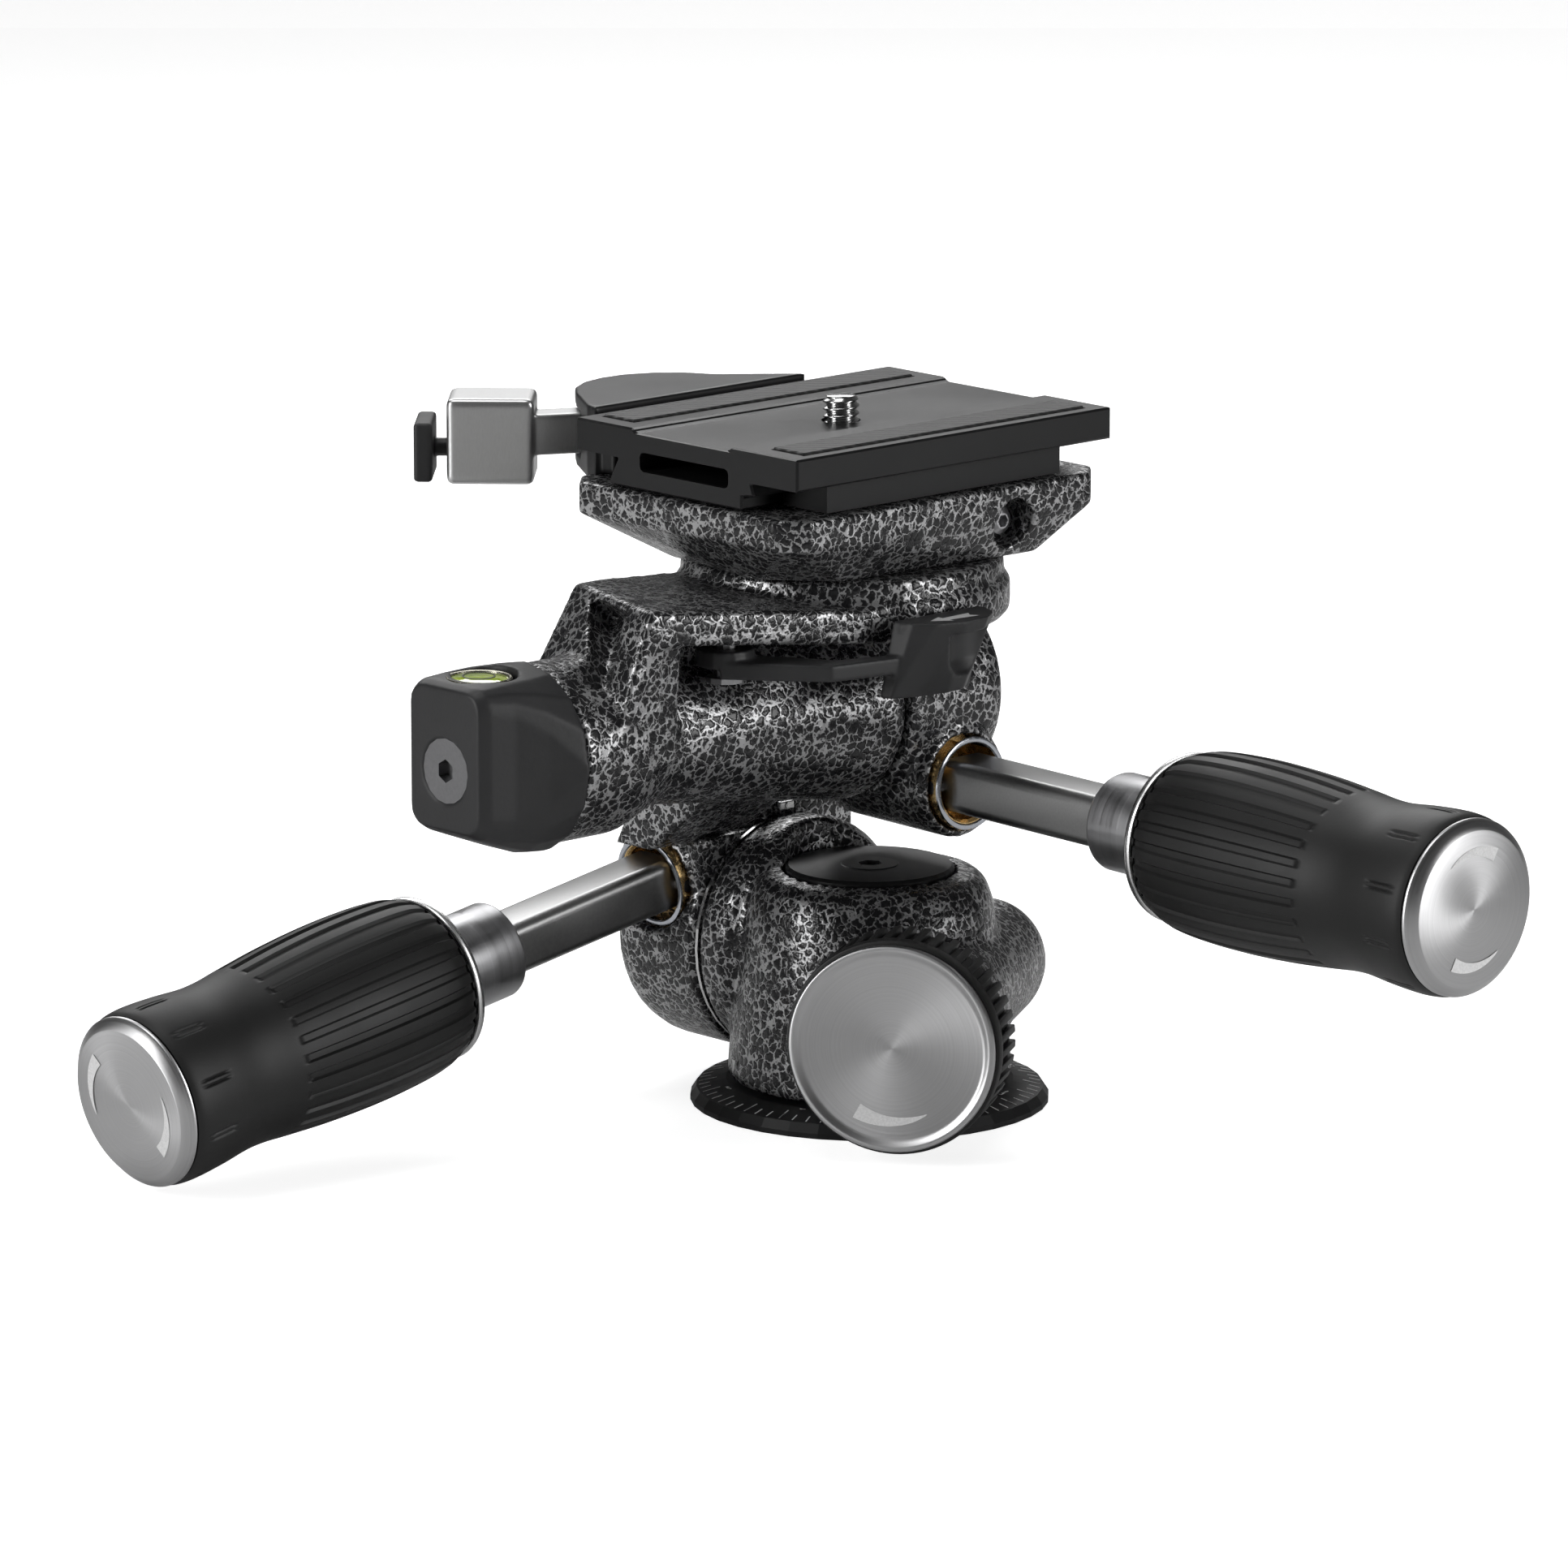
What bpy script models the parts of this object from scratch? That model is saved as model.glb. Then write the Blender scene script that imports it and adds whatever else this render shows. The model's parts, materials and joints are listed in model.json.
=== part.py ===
"""A compact three way pan tilt head for a camera, made of its separate pieces at real size.

The head stands on its graduated base ring. The origin is on the pan axis at the ring's underside.
+Z is up, the upper tilt axis runs along X and the lower tilt axis along Y.
"""

from math import asin, atan2, cos, pi, radians, sin, sqrt

import bmesh
import bpy
from mathutils import Matrix, Vector

for old in list(bpy.data.objects):
    bpy.data.objects.remove(old)

MM = 0.001
weld = 0.01 * MM

# Driving dimensions
gap = 0.3 * MM
overrun = 1.0 * MM
big_steps = 36
mid_steps = 24
small_steps = 16
bolt_steps = 10
scoop_steps = 80

base_radius = 30.7 * MM
pan_axle_radius = 8.5 * MM
roll_height = 25.5 * MM
roll_face = 21.4 * MM
roll_shaft_radius = 8.0 * MM
nod_offset = 7.0 * MM
housing_top = 40.2 * MM
nod_clearance = 11.5 * MM
barrel_radius = 17.5 * MM
nod_height = housing_top + nod_clearance + barrel_radius
nod_shaft_radius = 8.0 * MM
nod_split = -0.7 * MM
platform_rise = 25.3 * MM
platform_height = nod_height + platform_rise
platform_thickness = 12.8 * MM
platform_top = platform_height + platform_thickness
plate_lift = 0.4 * MM
plate_height = 10.3 * MM
plate_top = platform_top + plate_lift + plate_height
plate_length = 72.9 * MM
plate_width = 54.8 * MM
clamp_travel = 0.8 * MM

# The tangential clamp screws: pan knob, left handle and right handle
pan_knob_height = 20.2 * MM
pan_knob_offset = 15.0 * MM
pan_knob_turn = radians(212.7)
left_socket_place = Vector((-20.5 * MM, 33.0 * MM, 9.9 * MM))
left_socket = left_socket_place + Vector((0, 0, roll_height))
left_droop = radians(9.6)
right_socket_place = Vector((11.5 * MM, -12.5 * MM, -14.0 * MM))
right_socket = right_socket_place + Vector((0, 0, nod_height))
right_droop = radians(1.0)
clamp_bore = 6.9 * MM
stud_radius = 2.3 * MM

head = bpy.data.collections.new("three_way_pan_tilt_head")
helpers = bpy.data.collections.new("helpers")
for collection in (head, helpers):
    bpy.context.scene.collection.children.link(collection)

materials = {}
frames = {}


def material(name, colour, roughness, metallic):
    made = bpy.data.materials.new(name)
    made.use_nodes = True
    shader = made.node_tree.nodes["Principled BSDF"]
    shader.inputs["Base Color"].default_value = (*colour, 1)
    shader.inputs["Roughness"].default_value = roughness
    shader.inputs["Metallic"].default_value = metallic
    materials[name] = made


material("hammertone", (0.09, 0.09, 0.09), 0.35, 0.4)
material("black_anodised", (0.02, 0.02, 0.02), 0.4, 0.6)
material("black_plastic", (0.025, 0.025, 0.025), 0.5, 0.0)
material("rubber", (0.015, 0.015, 0.015), 0.6, 0.0)
material("spun_aluminium", (0.6, 0.6, 0.61), 0.3, 1.0)
material("brushed_steel", (0.45, 0.45, 0.46), 0.35, 1.0)
material("satin_steel", (0.2, 0.2, 0.2), 0.4, 0.9)
material("brass", (0.75, 0.5, 0.2), 0.3, 1.0)
material("level_fluid", (0.6, 0.75, 0.1), 0.1, 0.0)


def frame(name, parent, matrix):
    """An empty on a joint's axis. matrix is in world space."""
    empty = bpy.data.objects.new(name + "_axis", None)
    head.objects.link(empty)
    if parent:
        empty.parent = bpy.data.objects[parent + "_axis"]
        empty.matrix_local = frames[parent].inverted() @ matrix
    else:
        empty.matrix_local = matrix
    frames[name] = matrix


def at(x, y, z):
    return Matrix.Translation((x, y, z))


def aimed(origin, direction):
    """A matrix whose +Z looks along direction and whose X stays level."""
    z = Vector(direction).normalized()
    up = Vector((0, 0, 1))
    x = up.cross(z)
    x = Vector((1, 0, 0)) if x.length < MM else x.normalized()
    y = z.cross(x)
    turn = Matrix((x, y, z)).transposed().to_4x4()
    return Matrix.Translation(origin) @ turn


ALONG_Y = Matrix.Rotation(-pi / 2, 4, "X")
ALONG_X = Matrix.Rotation(pi / 2, 4, "Y")


def node(name, mesh, parent, place=None, finish=None):
    """A piece, or with no finish a helper shape that cuts or joins. place is in world space."""
    made = bpy.data.objects.new(name, mesh)
    made.parent = bpy.data.objects[parent + "_axis"]
    made.matrix_local = frames[parent].inverted() @ (place or frames[parent])
    if finish:
        head.objects.link(made)
        made.data.materials.append(materials[finish])
        made.data.shade_smooth()
        made.data.set_sharp_from_angle(angle=radians(32))
    else:
        helpers.objects.link(made)
        made.hide_render = True
        made.display_type = "WIRE"
    return made


def mesh_of(bm, name):
    bmesh.ops.recalc_face_normals(bm, faces=bm.faces)
    made = bpy.data.meshes.new(name)
    bm.to_mesh(made)
    bm.free()
    return made


def turned(name, profile, parent, place=None, finish=None, steps=mid_steps):
    """Turns (radius, height) points about local Z. The profile runs down the outer side."""
    mesh = bpy.data.meshes.new(name)
    ends = [(i, i + 1) for i in range(len(profile) - 1)]
    if profile[0][0] > 0:
        ends.append((len(profile) - 1, 0))
    mesh.from_pydata([(r, 0, z) for r, z in profile], ends, [])
    made = node(name, mesh, parent, place, finish)
    screw = made.modifiers.new("turn", "SCREW")
    screw.axis = "Z"
    screw.steps = steps
    screw.render_steps = steps
    screw.use_merge_vertices = True
    screw.merge_threshold = weld
    return made


def rod(name, radius, start, end, parent, place=None, finish=None, steps=mid_steps, tip=0):
    """A round bar along local Z from start to end, with chamfered tips."""
    profile = [(0, end), (radius - tip, end), (radius, end - tip)]
    profile += [(radius, start + tip), (radius - tip, start), (0, start)]
    if not tip:
        profile = [(0, end), (radius, end), (radius, start), (0, start)]
    return turned(name, profile, parent, place, finish, steps)


def ring(name, inner, outer, start, end, parent, place=None, finish=None, steps=mid_steps):
    profile = [(inner, end), (outer, end), (outer, start), (inner, start)]
    return turned(name, profile, parent, place, finish, steps)


def block(name, size, centre, parent, place=None, finish=None, bevel=0, segments=2):
    bm = bmesh.new()
    bmesh.ops.create_cube(bm, size=1)
    bmesh.ops.scale(bm, vec=size, verts=bm.verts)
    bmesh.ops.translate(bm, vec=centre, verts=bm.verts)
    made = node(name, mesh_of(bm, name), parent, place, finish)
    if bevel:
        soften(made, bevel, segments)
    return made


def span(name, low, high, parent, place=None, finish=None, bevel=0, segments=2):
    """A block between two corners."""
    low, high = Vector(low), Vector(high)
    return block(name, high - low, (low + high) / 2, parent, place, finish, bevel, segments)


def soften(made, width, segments=2, angle=radians(32)):
    bevel = made.modifiers.new("soften", "BEVEL")
    bevel.width = width
    bevel.segments = segments
    bevel.limit_method = "ANGLE"
    bevel.angle_limit = angle
    bevel.use_clamp_overlap = True
    return bevel


def hull(name, points, parent, place=None, finish=None, bevel=0, segments=2):
    """The convex solid round some corners."""
    bm = bmesh.new()
    for point in points:
        bm.verts.new(point)
    bmesh.ops.convex_hull(bm, input=bm.verts)
    loose = [v for v in bm.verts if not v.link_faces]
    bmesh.ops.delete(bm, geom=loose, context="VERTS")
    bmesh.ops.dissolve_limit(bm, angle_limit=radians(1), verts=bm.verts, edges=bm.edges)
    made = node(name, mesh_of(bm, name), parent, place, finish)
    if bevel:
        soften(made, bevel, segments)
    return made


def outline(name, points, bottom, top, parent, place=None, finish=None, bevel=0, segments=2):
    """A flat outline in local XY, thickened from bottom to top."""
    curve = bpy.data.curves.new(name, "CURVE")
    curve.dimensions = "2D"
    curve.fill_mode = "BOTH"
    curve.extrude = (top - bottom) / 2
    spline = curve.splines.new("POLY")
    spline.points.add(len(points) - 1)
    for slot, (x, y) in zip(spline.points, points):
        slot.co = (x, y, 0, 1)
    spline.use_cyclic_u = True
    guide = bpy.data.objects.new(name + "_curve", curve)
    helpers.objects.link(guide)
    graph = bpy.context.evaluated_depsgraph_get()
    mesh = bpy.data.meshes.new_from_object(guide.evaluated_get(graph))
    bpy.data.objects.remove(guide)
    bm = bmesh.new()
    bm.from_mesh(mesh)
    bmesh.ops.remove_doubles(bm, verts=bm.verts, dist=weld)
    bmesh.ops.translate(bm, vec=(0, 0, (bottom + top) / 2), verts=bm.verts)
    made = node(name, mesh_of(bm, name), parent, place, finish)
    if bevel:
        soften(made, bevel, segments)
    return made


def loft(name, rings, parent, place=None, finish=None):
    """Skins closed rings of equal length, and caps both ends."""
    bm = bmesh.new()
    rows = [[bm.verts.new(point) for point in points] for points in rings]
    count = len(rows[0])
    for low, high in zip(rows, rows[1:]):
        for i in range(count):
            j = (i + 1) % count
            bm.faces.new((low[i], low[j], high[j], high[i]))
    bm.faces.new(reversed(rows[0]))
    bm.faces.new(rows[-1])
    return node(name, mesh_of(bm, name), parent, place, finish)


def combine(target, tool, operation, solver="EXACT"):
    change = target.modifiers.new(tool.name, "BOOLEAN")
    change.operation = operation
    change.object = tool
    change.solver = solver


def cut(target, *tools, solver="EXACT"):
    for tool in tools:
        combine(target, tool, "DIFFERENCE", solver)


def join(target, *tools):
    for tool in tools:
        combine(target, tool, "UNION")


def circle(radius, count, centre=(0, 0), start=0.0, turn=2 * pi):
    """Points round a circle, or along an arc of it with both ends."""
    last = count if turn == 2 * pi else count - 1
    angles = [start + turn * i / last for i in range(count)]
    return [(centre[0] + radius * cos(a), centre[1] + radius * sin(a)) for a in angles]


def rounded(width, height, radius, centre=(0, 0), count=5):
    """A rectangle's outline with round corners."""
    points = []
    for i, (sx, sy) in enumerate(((1, 1), (-1, 1), (-1, -1), (1, -1))):
        corner = (centre[0] + sx * (width / 2 - radius), centre[1] + sy * (height / 2 - radius))
        points += circle(radius, count, corner, i * pi / 2, pi / 2)
    return points


def shares(table, across, along):
    """Outline points from shares of two sizes."""
    return [(a * across, b * along) for a, b in table]


def lifted(points, height):
    return [(x, y, height) for x, y in points]


# Base: a graduated ring with the pan axle standing in it
ring_floor = 2.3 * MM
ring_dial_radius = 24.6 * MM
ring_dial_height = 3.6 * MM
ring_edge_radius = 29.7 * MM
ring_edge_height = 2.4 * MM
ring_rim_height = 0.9 * MM
axle_flange_radius = 12.0 * MM
axle_top = 36.6 * MM
tripod_socket_radius = 4.5 * MM
tripod_socket_depth = 14.0 * MM
cap_screw_radius = 2.0 * MM
cap_thread_bottom = 24.0 * MM
cap_radius = 14.45 * MM
cap_bottom = 38.6 * MM
cap_thickness = 2.3 * MM
cap_edge = 0.5 * MM
cap_head_radius = 6.25 * MM
cap_head_height = 1.3 * MM
cap_head_crown_shares = ((0.0, 1.0), (0.45, 0.98), (0.78, 0.8), (0.95, 0.45), (1.0, 0.0))
hex_key_radius = 2.3 * MM

frame("base", None, Matrix())


def make_base():
    flange_top = ring_floor - gap
    turned("base_ring", [
        (pan_axle_radius + gap, ring_dial_height), (ring_dial_radius, ring_dial_height),
        (ring_edge_radius, ring_edge_height), (base_radius, ring_rim_height), (base_radius, 0),
        (axle_flange_radius + gap, 0), (axle_flange_radius + gap, ring_floor),
        (pan_axle_radius + gap, ring_floor),
    ], "base", finish="black_anodised", steps=big_steps)
    thread = cap_screw_radius + gap
    turned("pan_axle", [
        (0, cap_thread_bottom), (thread, cap_thread_bottom), (thread, axle_top),
        (pan_axle_radius, axle_top), (pan_axle_radius, flange_top),
        (axle_flange_radius, flange_top), (axle_flange_radius, gap),
        (tripod_socket_radius, gap), (tripod_socket_radius, tripod_socket_depth),
        (0, tripod_socket_depth),
    ], "base", finish="brushed_steel")
    cap_top = cap_bottom + cap_thickness
    turned("pan_cap", [
        (thread, cap_top), (cap_radius - cap_edge, cap_top), (cap_radius, cap_top - cap_edge),
        (cap_radius, cap_bottom), (pan_axle_radius, cap_bottom),
        (pan_axle_radius, axle_top + gap), (thread, axle_top + gap),
    ], "base", finish="black_anodised", steps=big_steps)
    head_bottom = cap_top + gap
    button_screw("cap_screw", "base", at(0, 0, head_bottom), cap_head_radius, cap_head_height,
                 cap_screw_radius, head_bottom - cap_thread_bottom - gap, hex_key_radius)


def button_screw(name, parent, place, head_radius, head_height, shank_radius, length, key):
    """A button head socket screw. Its head stands on local Z 0 and its shank runs down."""
    crown = shares(cap_head_crown_shares, head_radius, head_height)
    shank = [(shank_radius, 0), (shank_radius, -length), (0, -length)]
    screw = turned(name, crown + shank, parent, place, "brushed_steel", small_steps)
    key_depth = head_height / 2
    hexagon = circle(key, 6)
    cut(screw, outline(name + "_key", hexagon, head_height - key_depth, head_height + overrun,
                       parent, place))


# Pan housing: the drum that turns on the base, with the hub of the side tilt behind it
bush_wall = 2.0 * MM
housing_bottom = 4.2 * MM
housing_radius = 24.3 * MM
housing_shares = (
    (0.613, 1.0), (0.749, 0.985), (0.815, 0.95), (0.864, 0.87), (0.889, 0.771), (0.914, 0.647),
    (0.955, 0.448), (0.988, 0.249), (1.0, 0.129), (0.971, 0.104),
)
hub_radius = 21.0 * MM
hub_front = 15.0 * MM
hub_root = 4.0 * MM
hub_root_radius = 15.0 * MM
hub_edge = 0.8 * MM
cap_recess_floor = 38.3 * MM
lower_bush_bottom = 4.5 * MM
lower_bush_top = 12.4 * MM
upper_bush_bottom = 27.3 * MM
upper_bush_top = 36.3 * MM
pan_boss_radius = 11.0 * MM
pan_boss_tail = -19.0 * MM
pan_boss_mouth = 31.5 * MM
pan_boss_tail_shares = ((0.0, 1.0), (0.55, 0.9), (0.85, 0.62), (1.0, 0.2))
pan_boss_round = 6.5 * MM
boss_edge = 1.0 * MM
anchor_length = 8.0 * MM
handle_shoe_length = 9.2 * MM
jaw_split = 1.0 * MM
roll_shaft_start = 13.0 * MM
roll_shaft_end = 38.8 * MM
washer_thickness = 0.6 * MM
washer_radius = 20.6 * MM

pan_screw_direction = Vector((cos(pan_knob_turn), sin(pan_knob_turn), 0))
pan_screw_side = Vector((-pan_screw_direction.y, pan_screw_direction.x, 0))
pan_foot = pan_screw_side * pan_knob_offset + Vector((0, 0, pan_knob_height))
pan_screw = aimed(pan_foot, pan_screw_direction)
roll_axis = at(0, 0, roll_height) @ ALONG_Y
washer_start = roll_face - washer_thickness
roll_washer_front = washer_start + gap
middle_front = roll_washer_front + washer_thickness + gap

frame("pan", "base", Matrix())
frame("pan_shoe", "pan", pan_screw)
frame("pan_screw", "pan", pan_screw)


def jaw_pair(name, parent, shoe_parent, screw_axis, shaft_axis, shaft_radius, foot, length):
    """The two halves of a clamp on one screw axis. The anchor is threaded, and the shoe is
    drawn towards it. Both are hollowed to the shaft that they grip."""
    radius = clamp_bore - gap
    hollow = shaft_radius + gap
    anchor = rod(name + "_clamp_anchor", radius, foot - jaw_split / 2 - anchor_length,
                 foot - jaw_split / 2 - clamp_travel, parent, screw_axis, "brass", small_steps)
    shoe = rod(name + "_clamp_shoe", radius, foot + jaw_split / 2,
               foot + jaw_split / 2 + length, shoe_parent, screw_axis, "brass", small_steps)
    reach = shaft_radius * 6
    for jaw, spare in ((anchor, 0), (shoe, clamp_travel)):
        relief = rod(jaw.name + "_relief", hollow + spare, -reach, reach, parent, shaft_axis,
                     steps=small_steps)
        way = rod(jaw.name + "_way", stud_radius + gap, foot - reach, foot + reach, parent,
                  screw_axis, steps=bolt_steps)
        cut(jaw, relief, way)


def make_pan_housing():
    profile = shares(housing_shares, housing_radius, housing_top)
    profile = [(0, housing_top)] + profile + [(0, profile[-1][1])]
    housing = turned("pan_housing", profile, "pan", finish="hammertone", steps=big_steps)
    hub = turned("hub", [
        (0, washer_start + overrun), (hub_radius - hub_edge, washer_start + overrun),
        (hub_radius - hub_edge, washer_start), (hub_radius, washer_start - hub_edge), (hub_radius, hub_front),
        (hub_root_radius, hub_root), (0, hub_root),
    ], "pan", roll_axis, steps=big_steps)
    tail = [(r * pan_boss_radius, pan_boss_tail + (1 - s) * pan_boss_round)
            for s, r in pan_boss_tail_shares]
    boss = turned("pan_boss", [
        (0, pan_boss_mouth), (pan_boss_radius - boss_edge, pan_boss_mouth),
        (pan_boss_radius, pan_boss_mouth - boss_edge), *tail, (0, pan_boss_tail),
    ], "pan", pan_screw)
    join(housing, hub, boss)
    bore = rod("pan_bore", pan_axle_radius + gap + bush_wall + gap, -overrun,
               cap_recess_floor + overrun, "pan")
    recess = rod("cap_recess", cap_radius + gap, cap_recess_floor, nod_height, "pan",
                 steps=big_steps)
    clamp = rod("pan_clamp_bore", clamp_bore, -jaw_split / 2 - anchor_length - gap,
                pan_boss_mouth + overrun, "pan", pan_screw, steps=small_steps)
    socket = rod("roll_shaft_bore", roll_shaft_radius + gap, roll_shaft_start - gap,
                 washer_start + overrun, "pan", roll_axis)
    reach = base_radius * 2
    flat = span("hub_face", (-reach, washer_start, -overrun), (reach, reach, reach), "pan",
                Matrix())
    cut(housing, bore, recess, clamp, socket, flat)
    inner = pan_axle_radius + gap
    for name, low, high in (("lower", lower_bush_bottom, lower_bush_top),
                            ("upper", upper_bush_bottom, upper_bush_top)):
        ring(f"pan_bush_{name}", inner, inner + bush_wall, low, high, "pan",
             finish="black_plastic")
    shoe = knob_back - gap - jaw_split / 2
    jaw_pair("pan", "pan", "pan_shoe", pan_screw, Matrix(), pan_axle_radius, 0, shoe)
    ring("roll_washer", roll_shaft_radius + gap, washer_radius, roll_washer_front,
         roll_washer_front + washer_thickness, "pan", roll_axis, "spun_aluminium", big_steps)


# Pan knob: a lugged rubber-covered body with an aluminium face, screwed onto the clamp stud
knob_back = 32.6 * MM
knob_length = 12.0 * MM
knob_root_radius = 17.3 * MM
knob_lugs = 44
knob_lug_depth = 1.0 * MM
knob_lug_width_share = 0.55
knob_lug_length = 9.6 * MM
knob_neck_radius = 9.0 * MM
knob_face_radius = 17.65 * MM
knob_face_thickness = 2.2 * MM
knob_face_lip = 1.2 * MM
knob_face_dish = 0.5 * MM
knob_seat_radius = 16.4 * MM
knob_seat_depth = 1.0 * MM
knob_stud_start = -8.5 * MM
knob_stud_end = 38.0 * MM


def make_pan_knob():
    front = knob_back + knob_length
    lug_root = knob_root_radius
    body = turned("pan_knob", [
        (0, front - knob_seat_depth), (knob_seat_radius, front - knob_seat_depth),
        (knob_seat_radius, front), (lug_root + knob_lug_depth - boss_edge / 2, front),
        (lug_root + knob_lug_depth, front - boss_edge / 2),
        (lug_root + knob_lug_depth, knob_back + knob_lug_length),
        (lug_root - boss_edge, knob_back + knob_lug_length), (lug_root - boss_edge, knob_back),
        (0, knob_back),
    ], "pan_screw", finish="rubber", steps=big_steps)
    teeth = []
    tip = knob_lug_depth - gap / 2
    for i in range(knob_lugs):
        for share, radius in ((0, lug_root), (1 - knob_lug_width_share, lug_root),
                              (1 - knob_lug_width_share, lug_root + tip),
                              (1, lug_root + tip)):
            angle = 2 * pi * (i + share) / knob_lugs
            teeth.append((radius * cos(angle), radius * sin(angle)))
    lugs = outline("knob_lugs", teeth, knob_back + gap,
                   knob_back + knob_lug_length + boss_edge / 2, "pan_screw")
    join(body, lugs)
    way = rod("knob_stud_way", stud_radius + gap, knob_back - overrun, knob_stud_end + gap,
              "pan_screw", steps=bolt_steps)
    cut(body, way)
    face = front - knob_seat_depth + gap
    dish = knob_face_radius - knob_face_lip
    turned("pan_knob_face", [
        (0, face + knob_face_thickness - knob_face_dish),
        (dish - knob_face_dish, face + knob_face_thickness - knob_face_dish),
        (dish, face + knob_face_thickness), (knob_face_radius - cap_edge, face + knob_face_thickness),
        (knob_face_radius, face + knob_face_thickness - cap_edge),
        (knob_face_radius, front + gap), (knob_seat_radius - gap, front + gap),
        (knob_seat_radius - gap, face), (0, face),
    ], "pan_screw", finish="spun_aluminium", steps=big_steps)
    rod("pan_knob_stud", stud_radius, knob_stud_start, knob_stud_end, "pan_screw",
        finish="brushed_steel", steps=bolt_steps)


# Middle body: it tilts sideways on the roll shaft and carries the neck of the front tilt
middle_back = 42.9 * MM
middle_radius = 21.0 * MM
middle_shares = ((0.83, 1.0), (0.96, 0.94), (1.0, 0.8))
handle_boss_radius = 9.8 * MM
handle_boss_mouth = -1.2 * MM
handle_boss_tail = -29.5 * MM
tail_round = 4.0 * MM
mouth_clear = 6.0 * MM
bush_radius = 8.1 * MM
rear_cap_radius = 14.0 * MM
rear_cap_thickness = 2.0 * MM
rear_head_radius = 5.0 * MM
rear_head_height = 2.0 * MM
rear_screw_length = 14.0 * MM

neck_left = -30.0 * MM
neck_right = 17.0 * MM
neck_foot_left = -19.3 * MM
neck_bottom = 36.0 * MM
neck_shoulder = 50.0 * MM
neck_shoulder_back = 25.0 * MM
neck_back = 36.0 * MM
neck_back_height = 43.5 * MM
neck_right_height = 46.0 * MM
arm_right = -8.0 * MM
arm_foot_front = 22.6 * MM
arm_foot_back = 31.5 * MM
arm_foot_height = 44.0 * MM
eye_radius = 10.3 * MM
pocket_left = -19.5 * MM
pocket_right = -4.0 * MM
pocket_floor = 44.2 * MM
pocket_ceiling = 49.0 * MM
pocket_depth = 5.0 * MM
index_width = 3.2 * MM
index_height = 1.6 * MM
index_front = 20.6 * MM
index_bottom = 46.9 * MM

nod_axis = at(0, nod_offset, nod_height) @ ALONG_X
left_direction = Vector((-cos(left_droop), 0, -sin(left_droop)))
left_handle = aimed(left_socket, left_direction)
left_foot = (Vector((0, left_socket.y, roll_height)) - left_socket).dot(left_direction)
sleeve_wall = 2.0 * MM
sleeve_outer = roll_shaft_radius + gap + sleeve_wall

frame("roll", "pan", at(0, 0, roll_height))
frame("left_shoe", "roll", left_handle)
frame("left_twist", "roll", left_handle)


def boss_forms(name, parent, screw_axis, foot):
    """The round boss of a handle clamp, and the stepped bore that its bush and jaws sit in."""
    shoe_end = foot + jaw_split / 2 + handle_shoe_length
    tail = handle_boss_tail
    boss = turned(name + "_boss", [
        (0, handle_boss_mouth), (handle_boss_radius - boss_edge, handle_boss_mouth),
        (handle_boss_radius, handle_boss_mouth - boss_edge),
        (handle_boss_radius, tail + tail_round),
        (handle_boss_radius - tail_round / 3, tail + tail_round / 3),
        (handle_boss_radius - tail_round, tail), (0, tail),
    ], parent, screw_axis, steps=mid_steps)
    bore = turned(name + "_bore", [
        (0, mouth_clear), (bush_radius + gap, mouth_clear), (bush_radius + gap, shoe_end),
        (clamp_bore, shoe_end), (clamp_bore, foot - jaw_split / 2 - anchor_length - gap),
        (0, foot - jaw_split / 2 - anchor_length - gap),
    ], parent, screw_axis, steps=small_steps)
    return boss, bore


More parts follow.
